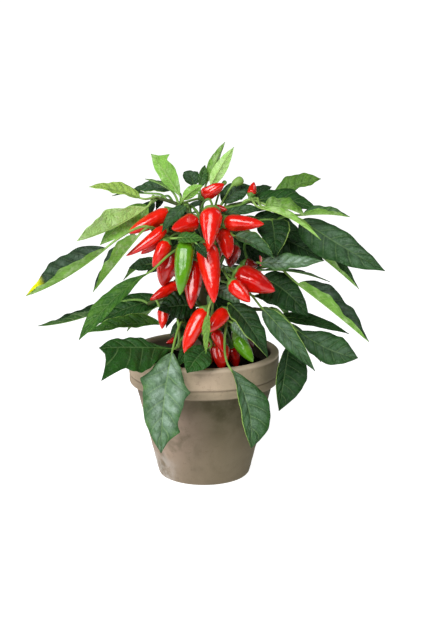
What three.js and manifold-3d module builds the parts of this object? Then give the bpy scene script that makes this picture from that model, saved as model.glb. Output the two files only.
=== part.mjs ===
// A potted chilli pepper plant: a clay pot filled with soil, a woody stem, leafy shoots with their
// petioles, calyxes and buds, and conical fruits, ripe and unripe.
// Millimetres, +Z up. The origin is on the ground below the middle of the pot, and -Y is the front.

import * as THREE from "three";
import { mergeVertices } from "three/addons/utils/BufferGeometryUtils.js";
import Module from "manifold-3d";

const wasm = await Module();
wasm.setup();

// Driving dimensions
const POT = {
  height: 128,
  rimRadius: 75.4,
  rimHeight: 31,
  rimStep: 6,
  footRadius: 46,
  wall: 7.5,
  floor: 9,
  lip: 2.2,
  grooveBelowTop: 22,
  grooveDepth: 0.9,
  drainRadius: 8,
  sides: 32,
};
const SOIL = { top: 110, unevenness: 1.4, sides: 20 };
const STEM = { foot: 84, footRadius: 6.4, topRadius: 2.6 };
const SHOOT = { startRadius: 2.7, endRadius: 1.5, joints: [0, 0.25, 0.5, 0.75, 1] };
const PETIOLE_RADIUS = 1.15;
const BLADE_THICKNESS = 0.8;
const PEDICEL_RADIUS = 1.15;
const GAP = 0.3;

// Places on the plant are given as a viewer in front of it sees them: millimetres to the right of
// the pot's axis, millimetres above the pot's foot, and millimetres nearer than the plant's middle.
const VIEW = { distance: 1500, pitch: 14, aimRight: 6.5, aimUp: 154.5, aimHeight: 163.3 };

const Z_UP = new THREE.Vector3(0, 0, 1);
const radians = THREE.MathUtils.degToRad;

function turned(right, up, near) {
  const s = Math.sin(radians(VIEW.pitch));
  const c = Math.cos(radians(VIEW.pitch));
  return new THREE.Vector3(right, up * s - near * c, up * c + near * s);
}

function seen([right, up, near]) {
  const scale = 1 - near / VIEW.distance;
  return turned((right - VIEW.aimRight) * scale, (up - VIEW.aimUp) * scale, near).add(
    new THREE.Vector3(VIEW.aimRight, 0, VIEW.aimHeight),
  );
}

// A point by its compass angle about the pot's axis, its distance from the axis and its height
function around(degrees, radius, height) {
  return new THREE.Vector3(
    radius * Math.cos(radians(degrees)),
    radius * Math.sin(radians(degrees)),
    height,
  );
}

// The woody stem's line, from inside the soil to the top node
const stemCurve = new THREE.CatmullRomCurve3([
  new THREE.Vector3(0, 0, STEM.foot),
  new THREE.Vector3(0, 0, 112),
  new THREE.Vector3(3, 3, 145),
  new THREE.Vector3(-2, 5, 185),
  new THREE.Vector3(1, 3, 225),
  new THREE.Vector3(-3, 1, 262),
]);

// One leaf. along: where on the shoot the petiole starts, from 0 to 1. base and tip: the blade's
// ends. width: across the flat blade. face: where the upper side looks, as right, up, near. It may
// also have via: a point half way along its midrib, or arch: how high the midrib bows up, swing: a
// point that the petiole passes, fold: how far each half is raised about the midrib, twist: the turn
// from base to tip, sides: how wide each half is, and late: how much nearer to the tip it is broadest.
function leaf(along, base, tip, width, face, more = {}) {
  return { along, base, tip, width, face, ...more };
}

// Leaves, by shoot
const LEAVES = {
  low_left: [
    leaf(0.85, [-32, 118, 70], [-43, 17, 82], 64, [0.1, 0.2, 1], {
      via: [-40, 70, 84], sides: [1.1, 1], late: 0.08,
    }),
    leaf(1, [-31, 121, 56], [-105, 122, 84], 72, [-0.1, 0.65, 0.8], {
      fold: 8, arch: 2, sides: [0.55, 1.62], late: 0.25,
    }),
    leaf(0.5, [5, 122, 56], [-17, 97, 77], 42, [0.2, 0.55, 0.8], {
      fold: 22, arch: 8, sides: [1, 1.3], late: 0.22,
    }),
    leaf(0.45, [-8, 160, 22], [-30, 122, 26], 34, [0, 0.4, 0.9], { arch: 5 }),
    leaf(0.7, [-13, 124, 44], [-26, 103, 52], 22, [0.3, 0.5, 0.8], { fold: 22, arch: 5 }),
    leaf(0.55, [-20, 149, 24], [-34, 134, 32], 15, [0, 0.5, 0.85], { arch: 3 }),
  ],
  low_right: [
    leaf(0.8, [26, 102, 72], [47, 22, 92], 44, [0.35, 0.2, 0.9], {
      via: [43, 66, 88], fold: 16, sides: [0.75, 1.6], late: 0.25,
    }),
    leaf(1, [26, 166, 56], [64, 112, 84], 48, [0.4, 0.35, 0.8], { fold: 16, arch: 10 }),
    leaf(0.35, [10, 170, 14], [26, 130, 10], 40, [0, 0.4, 0.9], { arch: 5 }),
    leaf(0.7, [28, 147, 52], [44, 128, 60], 18, [0, 0.5, 0.85], { arch: 3 }),
    leaf(0.2, [4, 156, 72], [2, 116, 85], 18, [-0.7, 0.1, 0.7], { swing: [9, 172, 48], fold: 16, arch: 3 }),
  ],
  right_low: [
    leaf(0.85, [86, 128, 22], [75, 59, 34], 54, [-0.1, 0.2, 1], {
      fold: 20, arch: 5, sides: [0.5, 1.5], late: 0.1,
    }),
    leaf(1, [93, 140, 0], [154, 112, 16], 58, [-0.1, 0.5, 0.85], { arch: -10, late: 0.15 }),
    leaf(0.95, [86, 146, -12], [117, 108, -4], 16, [-0.5, 0.5, 0.6], { fold: 20, arch: 5 }),
    leaf(0.9, [74, 153, -18], [145, 136, -8], 26, [0, 0.55, 0.8], { fold: 14, arch: 8 }),
  ],
  right_mid: [
    leaf(0.6, [58, 192, 22], [105, 153, 40], 50, [-0.1, 0.5, 0.85], { arch: 12, sides: [1.6, 1] }),
    leaf(1, [94, 186, 36], [165, 128, 62], 66, [0.3, 0.85, 0.48], { fold: 61, arch: 2, sides: [1, 0.92] }),
    leaf(0.75, [60, 200, -16], [126, 188, -24], 24, [0, 1, 0.1], { fold: 20, arch: 8 }),
    leaf(0.9, [57, 207, 46], [119, 209, 66], 38, [0, 0.7, 0.75], { arch: -2 }),
    leaf(0.7, [46, 226, -8], [86, 204, -8], 34, [0, 0.5, 0.85], { arch: 4 }),
    leaf(0.25, [12, 182, 42], [37, 164, 54], 28, [0, 0.6, 0.8], { arch: 4 }),
    leaf(0.4, [50, 174, 34], [88, 159, 38], 18, [0, 0.8, 0.6], { fold: 20, arch: 4 }),
    leaf(0.3, [59, 161, 48], [111, 99, 86], 35, [-0.4, 0.35, 0.85], {
      swing: [42, 180, 34], fold: 14, arch: 4,
    }),
  ],
  right_up: [
    leaf(1, [97, 250, 0], [181, 199, 46], 64, [-0.15, 0.55, 0.85], {
      fold: 10, arch: -3, sides: [1.25, 0.78],
    }),
    leaf(0.9, [102, 226, -16], [155, 181, 8], 40, [0.3, 0.85, 0.45], { fold: 60, arch: 2 }),
    leaf(0.65, [68, 249, 20], [72, 213, 56], 56, [0, 0.65, 0.75], { fold: 14, arch: 10 }),
    leaf(0.5, [31, 234, 52], [70, 212, 84], 34, [0.1, 0.6, 0.8], { fold: 32 }),
    leaf(0.8, [58, 238, 2], [120, 209, 8], 46, [0, 0.5, 0.85], { sides: [1.6, 1] }),
    leaf(0.5, [50, 253, 6], [106, 226, 4], 44, [0, 0.6, 0.8], { arch: 6 }),
  ],
  right_top: [
    leaf(1, [62, 263, 32], [101, 254, 48], 44, [0.1, 1, 0.1], { fold: 50, arch: 7 }),
    leaf(0.9, [60, 261, 46], [117, 230, 72], 26, [0.3, 0.9, 0.1], { fold: 52, arch: 10 }),
    leaf(0.6, [45, 268, -6], [113, 260, 12], 54, [0, 0.75, 0.65], { fold: 10, arch: 12, late: 0.06 }),
    leaf(0.95, [66, 272, -24], [117, 291, -30], 48, [0, 0.8, 0.6], { fold: 20, arch: 6, late: 0.15 }),
    leaf(0.8, [99, 255, 24], [146, 253, 34], 30, [0, 0.9, 0.4], { fold: 56, arch: 4 }),
    leaf(0.35, [19, 267, 8], [47, 284, -12], 40, [0, 0.6, 0.8], { fold: 10 }),
    leaf(0.5, [50, 274, -22], [68, 283, -40], 24, [0, 0.8, 0.6], { fold: 14, arch: 5 }),
    leaf(0.25, [20, 256, 12], [62, 260, 12], 22, [0, 0.6, 0.8], { arch: 4 }),
  ],
  top: [
    leaf(1, [7, 285, 14], [30, 323, 2], 24, [0.2, 0.2, -1], { fold: 22, arch: 3 }),
    leaf(0.9, [3, 288, -12], [21, 328, -30], 22, [-0.5, 0.3, -0.8], { fold: 25, arch: 3 }),
    leaf(0.75, [-4, 282, -4], [1, 305, -16], 18, [0.4, 0.3, 1], { fold: 30, arch: 3 }),
    leaf(0.6, [-10, 284, -26], [-17, 299, -50], 30, [0, 0.7, 0.7]),
    leaf(0.65, [-21, 270, 34], [-1, 284, 42], 20, [0.2, 0.3, -0.9], { fold: 20, arch: 5 }),
  ],
  top_left: [
    leaf(0.45, [-24, 274, 14], [-53, 316, 0], 35, [0.3, 0.2, -0.9], {
      fold: 14, arch: 4, sides: [0.9, 1], late: 0.12,
    }),
    leaf(0.9, [-64, 272, 28], [-115, 283, 34], 36, [-0.1, 0.8, 0.6], { fold: 20, arch: 5 }),
    leaf(0.8, [-60, 277, -14], [-92, 274, -14], 18, [0, 1, 0.2], { fold: 30, arch: 3 }),
    leaf(0.55, [-32, 280, -20], [-73, 279, -24], 34, [0, 0.75, 0.65], { fold: 14 }),
    leaf(0.6, [-35, 281, 0], [-59, 291, -8], 14, [0, 1, 0], { fold: 30, arch: 3 }),
    leaf(1, [-57, 263, 24], [-127, 229, 44], 56, [-0.2, 0.95, -0.2], {
      fold: 52, arch: -8, sides: [0.65, 1.2], late: 0.12,
    }),
    leaf(0.95, [-56, 264, 10], [-104, 225, 26], 44, [0.2, -0.2, -0.9], { fold: 10 }),
    leaf(0.85, [-50, 268, -4], [-74, 236, 8], 24, [0.1, 0.5, 0.8], { fold: 10, arch: 5 }),
    leaf(0.7, [-42, 271, -10], [-48, 260, -6], 12, [0, 0.3, 0.9], { fold: 14, arch: 2 }),
    leaf(0.35, [-19, 264, 36], [-42, 238, 60], 26, [-0.2, 0.5, 0.85], { arch: 4 }),
  ],
  left_up: [
    leaf(1, [-98, 222, 50], [-178, 174, 40], 56, [-0.2, 0.87, 0.5], {
      fold: 60, arch: -10, sides: [1.25, 1], late: 0.04,
    }),
    leaf(0.95, [-66, 234, 60], [-111, 178, 84], 48, [-0.72, 0.57, 0.37], {
      fold: 68, arch: 0, sides: [0.85, 1.05],
    }),
    leaf(0.47, [-56, 197, 64], [-125, 130, 92], 38, [-0.35, 0.5, 0.8], {
      swing: [-34, 216, 52], fold: 18, arch: 13, late: 0.2,
    }),
    leaf(0.74, [-50, 206, 10], [-75, 202, 6], 24, [0, 0.3, 0.95], { arch: 2 }),
    leaf(0.38, [-27, 232, 66], [1, 230, 74], 20, [0, 0.4, 0.9], { arch: 2 }),
    leaf(0.34, [-7, 226, 74], [3, 211, 82], 16, [0, 0.4, 0.9], { swing: [-9, 238, 48], arch: 2 }),
  ],
  left_low: [
    leaf(1, [-94, 164, -12], [-166, 144, 0], 40, [-0.2, 0.9, 0.4], { fold: 40, arch: -8, twist: 30 }),
    leaf(0.7, [-44, 170, -10], [-108, 146, -4], 46, [-0.1, 0.6, 0.8], { fold: 10, arch: 8 }),
    leaf(0.85, [-44, 146, 26], [-118, 137, 40], 40, [0, 0.75, 0.55], { fold: 30, sides: [1, 1.3] }),
    leaf(0.5, [-8, 164, 40], [-46, 160, 52], 52, [0.1, 0.35, 0.9], { fold: 10, arch: 4 }),
  ],
};

// The dark inner leaves, in the shade behind the fruits
const INNER_LEAVES = {
  back_left: [
    leaf(0.45, [-12, 222, -14], [-58, 196, -26], 44, [-0.1, 0.5, 0.85]),
    leaf(0.6, [-14, 196, -20], [-38, 142, -30], 40, [0, 0.3, 0.95]),
    leaf(0.9, [-14, 256, -22], [-46, 226, -32], 40, [-0.1, 0.4, 0.9]),
  ],
  back_middle: [
    leaf(0.42, [2, 242, -16], [-6, 168, -30], 50, [0, 0.3, 0.95]),
    leaf(0.8, [2, 250, -4], [-38, 222, -8], 30, [0, 0.3, 0.95], { arch: 3 }),
  ],
  back_right: [
    leaf(0.45, [14, 226, -14], [56, 198, -28], 44, [0.1, 0.5, 0.85]),
    leaf(0.6, [12, 200, -20], [34, 144, -30], 44, [0, 0.3, 0.95]),
    leaf(0.9, [14, 258, -22], [44, 230, -34], 42, [0.1, 0.4, 0.9]),
    leaf(0.55, [24, 244, -6], [56, 202, -14], 44, [0.1, 0.3, 0.95]),
  ],
};

// One fruit. along: where the pedicel starts. neck and tip: the fruit's ends. width: its thickest.
// taper: under 1.3 for a fruit drawn out to a thin tail. It may also have bend: how far it curves
// right, and green: not ripe yet.
function fruit(along, neck, tip, width, taper = 1.6, more = {}) {
  return { along, neck, tip, width, taper, ...more };
}

// Fruits, by shoot
const FRUITS = {
  low_left: [
    fruit(0.35, [1, 160, 54], [-19, 116, 62], 16, 2.4, { bend: -5 }),
    fruit(0.8, [-40, 161, 34], [-42, 141, 42], 12, 1.4),
    fruit(0.95, [-26, 131, 18], [-38, 127, 24], 7, 1.4),
  ],
  low_right: [
    fruit(0.6, [21, 159, 50], [4, 138, 66], 15, 2.2),
    fruit(0.55, [12, 139, 44], [19, 118, 54], 12, 1.7),
    fruit(0.65, [17, 125, 32], [18, 100, 40], 17, 2.2),
    fruit(0.75, [28, 122, 16], [33, 102, 20], 13, 1.8),
    fruit(0.45, [6, 128, 20], [7, 106, 26], 13, 1.8),
    fruit(0.9, [33, 132, 34], [49, 108, 42], 14, 2.2, { green: true }),
    fruit(0.95, [42, 136, 0], [49, 122, 2], 9),
  ],
  right_mid: [
    fruit(0.5, [34, 196, 46], [71, 179, 62], 26, 1.5),
    fruit(0.4, [28, 187, 62], [46, 168, 74], 15, 2),
    fruit(0.65, [41, 206, 26], [54, 204, 28], 12),
  ],
  right_up: [
    fruit(0.35, [21, 248, 44], [60, 246, 58], 16, 2),
    fruit(0.3, [17, 240, 36], [24, 211, 46], 17, 2.2, { bend: 3 }),
    fruit(0.45, [29, 224, 22], [26, 203, 32], 17, 1.8),
    fruit(0.25, [2, 226, 54], [10, 167, 72], 22, 1.6, { bend: 2 }),
  ],
  right_top: [
    fruit(0.45, [47, 275, 4], [50, 288, -2], 9),
    fruit(0.3, [12, 262, 18], [23, 260, 26], 8),
  ],
  top: [
    fruit(0.35, [8, 260, 56], [5, 221, 76], 22, 1.2),
    fruit(0.8, [-1, 274, 18], [20, 286, 26], 14, 2.2),
  ],
  top_left: [
    fruit(0.45, [-9, 249, 48], [-32, 241, 74], 18, 1.5),
    fruit(0.55, [-35, 258, 26], [-76, 237, 36], 16, 2.3, { bend: 1 }),
  ],
  left_up: [
    fruit(0.6, [-39, 242, 46], [-78, 214, 54], 12, 1.6, { bend: 5 }),
    fruit(0.65, [-44, 230, 26], [-63, 216, 30], 11),
    fruit(0.5, [-37, 228, 46], [-51, 203, 52], 14, 1.9),
    fruit(0.4, [-33, 217, 28], [-42, 184, 34], 24, 1.8),
    fruit(0.35, [-18, 228, 58], [-24, 175, 66], 18, 2, { green: true }),
    fruit(0.3, [-10, 208, 42], [-13, 161, 58], 19, 1.8),
  ],
  left_low: [fruit(0.6, [-27, 186, 24], [-54, 170, 36], 12, 1.9)],
};

// Buds and just-set fruits, fused to the shoot: a stalk that ends in a small knob
const BUDS = {
  right_top: [
    { along: 0.2, neck: [29, 285, 6], tip: [39, 291, 4], radius: 4.6 },
    { along: 0.15, neck: [18, 284, 2], tip: [22, 289, 0], radius: 2.4 },
  ],
  low_left: [{ along: 0.6, neck: [-24, 128, 44], tip: [-26, 122, 46], radius: 2.4 }],
};

// Where each shoot leaves the stem, and the points that it then passes
const SHOOTS = {
  low_left: { height: 133, through: [[-10, 138, 26], [-26, 150, 46]] },
  low_right: { height: 140, through: [[12, 142, 24], [30, 146, 42]] },
  right_low: { height: 154, through: [[36, 160, 6], [68, 160, 12]] },
  right_mid: { height: 186, through: [[26, 196, 14], [66, 204, 18]] },
  right_up: { height: 214, through: [[26, 238, 22], [72, 248, 14]] },
  right_top: { height: 240, through: [[18, 258, 8], [52, 270, 6]] },
  top: { height: 258, through: [[-2, 268, 10], [2, 280, 8]] },
  top_left: { height: 246, through: [[-18, 262, 12], [-50, 273, 10]] },
  left_up: { height: 206, through: [[-22, 232, 26], [-52, 240, 38]] },
  left_low: { height: 170, through: [[-22, 176, 12], [-56, 166, 4]] },
};

// The far side carries leaves and fruits by a rule: turns of the golden section, from low to high
const BACK = {
  from: 40,
  to: 140,
  leaves: 14,
  leafPhase: 0.2,
  low: 152,
  high: 266,
  fruits: 3,
  fruitPhase: 0.1,
  fruitRadius: 72,
  fruitHeight: 220,
};
const GOLDEN_SECTION = 0.61803;
const BACK_SHOOTS = [
  { name: "back_right", from: 0, to: 72, height: 178 },
  { name: "back_middle", from: 72, to: 108, height: 195 },
  { name: "back_left", from: 108, to: 180, height: 144 },
];

function backLeaf(k) {
  const angle = BACK.from + (BACK.to - BACK.from) * ((k * GOLDEN_SECTION + BACK.leafPhase) % 1);
  const level = k / (BACK.leaves - 1);
  const foot = BACK.low + (BACK.high - BACK.low) * level;
  const reach = 124 - 26 * level + 10 * Math.sin(k * 2.1);
  const drop = 44 - 36 * level + 8 * Math.cos(k * 1.7);
  return {
    angle,
    along: 0.35 + 0.65 * level,
    base: around(angle, 56, foot + 6),
    tip: around(angle + 8 * Math.sin(k * 1.3), reach, foot - drop),
    width: 44 + 8 * Math.sin(k * 2.7),
    face: around(angle, 0.35, 0.9),
    fold: 16 + 10 * Math.cos(k * 1.9),
    arch: 14,
    far: true,
  };
}

function backFruit(k) {
  const angle = BACK.from + (BACK.to - BACK.from) * ((k + BACK.fruitPhase) / BACK.fruits);
  const height = BACK.fruitHeight + 36 * ((k * GOLDEN_SECTION) % 1);
  const neck = around(angle, BACK.fruitRadius, height);
  const tip = around(angle + 3, BACK.fruitRadius + 8, height - 42);
  return { angle, along: 0.6, neck, tip, width: 13, taper: 1.8 };
}

function backShoots() {
  const leaves = Array.from({ length: BACK.leaves }, (_, k) => backLeaf(k));
  const fruits = Array.from({ length: BACK.fruits }, (_, k) => backFruit(k));
  return BACK_SHOOTS.map(({ name, from, to, height }) => {
    const middle = (Math.max(from, BACK.from) + Math.min(to, BACK.to)) / 2;
    const inside = (item) => item.angle >= from && item.angle < to;
    return {
      name,
      height,
      path: [around(middle, 24, height + 26), around(middle, 44, height + 52)],
      leaves: [...leaves.filter(inside), ...INNER_LEAVES[name]],
      fruits: fruits.filter(inside),
      buds: [],
    };
  });
}

// One closed solid from a geometry, and back
function solid(geometry) {
  const merged = mergeVertices(geometry.deleteAttribute("normal").deleteAttribute("uv"), 1e-4);
  return new wasm.Manifold(
    new wasm.Mesh({
      numProp: 3,
      vertProperties: new Float32Array(merged.getAttribute("position").array),
      triVerts: new Uint32Array(merged.index.array),
    }),
  );
}

function geometryOf(manifold) {
  const mesh = manifold.getMesh();
  const positions = new Float32Array(mesh.numVert * 3);
  for (let i = 0; i < mesh.numVert; i++) {
    positions.set(mesh.vertProperties.subarray(i * mesh.numProp, i * mesh.numProp + 3), i * 3);
  }
  const geometry = new THREE.BufferGeometry();
  geometry.setAttribute("position", new THREE.BufferAttribute(positions, 3));
  geometry.setIndex(new THREE.BufferAttribute(mesh.triVerts, 1));
  geometry.computeVertexNormals();
  return geometry;
}

function indexed(points, triangles) {
  const geometry = new THREE.BufferGeometry().setFromPoints(points);
  geometry.setIndex(triangles);
  return geometry;
}

// The direction across a curve at each of these shares of it, carried along without twisting
function carried(curve, shares, guide) {
  const steps = 6;
  let across = guide.clone();
  return shares.map((share, i) => {
    const from = i ? shares[i - 1] : share;
    for (let k = 1; k <= steps; k++) {
      const along = curve.getTangent(from + ((share - from) * k) / steps);
      across = across.clone().addScaledVector(along, -across.dot(along)).normalize();
    }
    return across;
  });
}

// A round rod along a curve: stations is a list of [share of the curve, radius]
function rod(curve, stations, sides) {
  const points = [];
  const triangles = [];
  const first = curve.getTangent(0);
  const guide = Math.abs(first.x) < 0.8 ? new THREE.Vector3(1, 0, 0) : new THREE.Vector3(0, 1, 0);
  const crossways = carried(curve, stations.map(([share]) => share), guide);
  stations.forEach(([share, radius], i) => {
    const other = curve.getTangent(share).cross(crossways[i]);
    const middle = curve.getPoint(share);
    for (let k = 0; k < sides; k++) {
      const turn = (2 * Math.PI * k) / sides;
      points.push(
        middle
          .clone()
          .addScaledVector(crossways[i], radius * Math.cos(turn))
          .addScaledVector(other, radius * Math.sin(turn)),
      );
      if (i === 0) continue;
      const a = (i - 1) * sides + k;
      const b = (i - 1) * sides + ((k + 1) % sides);
      triangles.push(a, b, b + sides, a, b + sides, a + sides);
    }
  });
  const start = points.push(curve.getPoint(0)) - 1;
  const end = points.push(curve.getPoint(1)) - 1;
  const last = (stations.length - 1) * sides;
  for (let k = 0; k < sides; k++) {
    const next = (k + 1) % sides;
    triangles.push(start, next, k, end, last + k, last + next);
  }
  return indexed(points, triangles);
}

// A leaf's midrib, from base to tip, lifted in the middle by its arch
function midrib(leaf) {
  const middle = leaf.base.clone().lerp(leaf.tip, 0.5);
  const lifted = leaf.via
    ? leaf.via.clone().multiplyScalar(2).sub(middle)
    : middle.addScaledVector(Z_UP, leaf.arch);
  return new THREE.QuadraticBezierCurve3(leaf.base, lifted, leaf.tip);
}

// The petiole's line swings from the shoot into the midrib
function petioleLine(leaf, shoot) {
  const inward = midrib(leaf).getTangent(0);
  const start = shoot.getPointAt(leaf.along);
  if (leaf.swing) {
    const before = leaf.base.clone().addScaledVector(inward, -4);
    return new THREE.CatmullRomCurve3([start, leaf.swing, before, leaf.base]);
  }
  const reach = start.distanceTo(leaf.base) * 0.4;
  const outward = shoot.getTangentAt(leaf.along);
  return new THREE.CubicBezierCurve3(
    start,
    start.clone().addScaledVector(outward, reach * 0.3).addScaledVector(Z_UP, reach * 0.5),
    leaf.base.clone().addScaledVector(inward, -reach),
    leaf.base,
  );
}

// The width of half s of the blade at t from base to tip: broadest before the middle, or nearer to
// the tip for a late leaf, and drawn out at the tip
function halfWidth(leaf, t, s) {
  const share = t ** (1 + 4 * leaf.late);
  const half = (leaf.width / 2) * (s < 0 ? leaf.sides[0] : leaf.sides[1]);
  return Math.max(half * 1.78 * share ** 0.62 * (1 - share) ** 1.05, 0.55);
}

// Six points across a leaf: the top and the underside of its left edge, its middle and its right edge.
// They are a round petiole up to the blade's base, and from there a thin slab that is folded up
// along the midrib and waved along its edges.
function petioleRing(place, side, normal, radius) {
  return [-1, 0, 1].flatMap((s) =>
    [1, -1].map((t) =>
      place
        .clone()
        .addScaledVector(side, s * radius * 0.87)
        .addScaledVector(normal, t * radius * (s ? 0.5 : 1)),
    ),
  );
}

function bladeRing(leaf, t, place, side, normal) {
  return [-1, 0, 1].flatMap((s) => {
    const wide = halfWidth(leaf, t, s);
    const angle = radians(leaf.fold) * (1 - 0.15 * t);
    const phase = 15 * t + leaf.order * 2.4 + s;
    const wave = 0.028 * leaf.width * Math.sin(Math.PI * t) * Math.sin(phase);
    const point = place
      .clone()
      .addScaledVector(side, s * wide * Math.cos(angle))
      .addScaledVector(normal, Math.abs(s) * (wide * Math.sin(angle) + wave));
    const out = normal.clone().multiplyScalar(Math.cos(angle)).addScaledVector(side, -s * Math.sin(angle));
    const half = (s ? 1 : 1 / Math.cos(angle) ** 2) * (BLADE_THICKNESS / 2);
    return [1, -1].map((t) => point.clone().addScaledVector(out, t * half));
  });
}

const PETIOLE_STATIONS = [1, 0.65, 0.3, 0];
const SHORT_PETIOLE_STATIONS = [1, 0.5, 0];
const BLADE_STATIONS = [0.12, 0.36, 0.62, 0.86, 1];
const SMALL_BLADE_STATIONS = [0.14, 0.42, 0.74, 1];

function leafGeometry(leaf, shoot) {
  const rib = midrib(leaf);
  const line = petioleLine(leaf, shoot);
  const small = leaf.far || leaf.width < 30;
  const petioleShares = small ? SHORT_PETIOLE_STATIONS : PETIOLE_STATIONS;
  const bladeShares = small ? SMALL_BLADE_STATIONS : BLADE_STATIONS;
  const rings = bladeShares.map((t) => {
    const along = rib.getTangent(t);
    const flat = leaf.face.clone().addScaledVector(along, -leaf.face.dot(along)).normalize();
    const normal = flat.applyAxisAngle(along, radians(leaf.twist * t));
    return bladeRing(leaf, t, rib.getPoint(t), normal.clone().cross(along), normal);
  });
  carried(line, petioleShares, leaf.face).forEach((normal, i) => {
    const share = petioleShares[i];
    const side = normal.clone().cross(line.getTangent(share));
    const radius = PETIOLE_RADIUS * (1.2 - 0.3 * share);
    rings.unshift(petioleRing(line.getPoint(share), side, normal, radius));
  });
  const triangles = [];
  const quad = (a, b, c, d) => triangles.push(a, b, c, a, c, d);
  for (let i = 0; i < rings.length - 1; i++) {
    const p = i * 6;
    const q = p + 6;
    quad(p, q, q + 2, p + 2);
    quad(p + 2, q + 2, q + 4, p + 4);
    quad(p + 1, p + 3, q + 3, q + 1);
    quad(p + 3, p + 5, q + 5, q + 3);
    quad(p, p + 1, q + 1, q);
    quad(p + 4, q + 4, q + 5, p + 5);
  }
  const e = (rings.length - 1) * 6;
  quad(0, 2, 3, 1);
  quad(2, 4, 5, 3);
  quad(e, e + 1, e + 3, e + 2);
  quad(e + 2, e + 3, e + 5, e + 4);
  return indexed(rings.flat(), triangles);
}

// A fruit's own line, from its flat neck to its tip
function fruitLine(fruit) {
  const bent = fruit.neck.clone().lerp(fruit.tip, 0.5);
  bent.x += fruit.bend;
  return new THREE.QuadraticBezierCurve3(fruit.neck, bent, fruit.tip);
}

function fruitRadius(fruit, t) {
  const shoulder = 0.2;
  const widest = fruit.width / 2;
  if (t < shoulder) return widest * (1 - 0.42 * (1 - t / shoulder) ** 2);
  return widest * (1 - ((t - shoulder) / (1 - shoulder)) ** fruit.taper) ** 0.7;
}

function fruitBody(fruit) {
  const stations = [0, 0.12, 0.36, 0.64, 0.86].map((t) => [t, fruitRadius(fruit, t)]);
  stations.push([0.98, fruitRadius(fruit, 0.98) * 0.8]);
  return rod(fruitLine(fruit), stations, 7);
}

// The calyx caps the fruit's neck, and the pedicel carries it from the shoot
function pedicel(fruit, shoot) {
  const away = fruitLine(fruit).getTangent(0).negate();
  const start = fruit.neck.clone().addScaledVector(away, GAP);
  const end = shoot.getPointAt(fruit.along);
  const reach = start.distanceTo(end);
  const curve = new THREE.CubicBezierCurve3(
    start,
    start.clone().addScaledVector(away, 5 + reach * 0.35),
    end.clone().addScaledVector(Z_UP, reach * 0.3),
    end,
  );
  const length = curve.getLength();
  const cap = (fruit.width / 2) * 0.58;
  const stations = [
    [0, cap + 0.7],
    [1.6 / length, cap * 0.82],
    [4 / length, cap * 0.25 + 0.9],
    [0.5, PEDICEL_RADIUS],
    [1, PEDICEL_RADIUS],
  ];
  return rod(curve, stations, 5);
}

function bud(knob, shoot) {
  const start = shoot.getPointAt(knob.along);
  const curve = new THREE.CatmullRomCurve3([
    start,
    start.clone().lerp(knob.neck, 0.5).addScaledVector(Z_UP, 3),
    knob.neck,
    knob.tip,
  ]);
  const length = curve.getLength();
  const neck = 1 - knob.neck.distanceTo(knob.tip) / length;
  const stations = [
    [0, PEDICEL_RADIUS],
    [neck * 0.5, PEDICEL_RADIUS * 0.9],
    [neck, PEDICEL_RADIUS * 1.3],
    [neck + (1 - neck) * 0.4, knob.radius * 0.8],
    [neck + (1 - neck) * 0.75, knob.radius],
    [1, knob.radius * 0.45],
  ];
  return rod(curve, stations, 6);
}

// The woody stem, thickest at its foot. grow widens it by that much, to cut the shoots clear of it.
function stemSolid(grow) {
  const slimmer = STEM.topRadius - STEM.footRadius;
  const radiusAt = (share) => STEM.footRadius + slimmer * share ** 0.8 + grow;
  const shares = [0, 0.12, 0.3, 0.5, 0.7, 0.86, 1];
  return solid(rod(stemCurve, shares.map((share) => [share, radiusAt(share)]), 10));
}

// Every point list becomes a place in millimetres, and the options get their usual values
function placed(item, order) {
  const place = (value) => (value.isVector3 ? value : seen(value));
  const usual = { fold: 12, twist: 0, arch: 6, sides: [1, 1], late: 0, bend: 0, green: false };
  const made = { ...usual, order, ...item };
  for (const key of ["base", "via", "tip", "swing", "neck"]) {
    if (made[key]) made[key] = place(made[key]);
  }
  if (made.face) made.face = (made.face.isVector3 ? made.face : turned(...made.face)).clone().normalize();
  return made;
}

function heightShare(height) {
  let best = 0;
  for (let share = 0; share <= 1; share += 0.002) {
    const gap = Math.abs(stemCurve.getPointAt(share).z - height);
    if (gap < Math.abs(stemCurve.getPointAt(best).z - height)) best = share;
  }
  return best;
}

// A shoot bends a little at each of its joints
function jointed(points) {
  const smooth = new THREE.CatmullRomCurve3(points);
  const joints = SHOOT.joints.map((share) => smooth.getPointAt(share));
  const path = new THREE.CurvePath();
  joints.slice(1).forEach((joint, i) => path.add(new THREE.LineCurve3(joints[i], joint)));
  return path;
}

function allShoots() {
  const front = Object.entries(SHOOTS).map(([name, shoot]) => ({
    name,
    height: shoot.height,
    path: shoot.through.map(seen),
    leaves: LEAVES[name] ?? [],
    fruits: FRUITS[name] ?? [],
    buds: BUDS[name] ?? [],
  }));
  return [...front, ...backShoots()].map((shoot) => ({
    ...shoot,
    curve: jointed([stemCurve.getPointAt(heightShare(shoot.height)), ...shoot.path]),
    leaves: shoot.leaves.map(placed),
    fruits: shoot.fruits.map(placed),
    buds: shoot.buds.map(placed),
  }));
}

function shootRod(curve) {
  const radiusAt = (share) => SHOOT.startRadius + (SHOOT.endRadius - SHOOT.startRadius) * share;
  const shares = [0, ...curve.getCurveLengths()].map((length) => length / curve.getLength());
  const stations = shares.map((share) => [share, radiusAt(share)]);
  return rod(curve, stations, 6);
}

// Where petioles cross, their union can hold a tiny sealed bubble: only the outer body is kept
function outerBody(manifold) {
  return manifold.decompose().reduce((a, b) => (a.volume() > b.volume() ? a : b));
}

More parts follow.
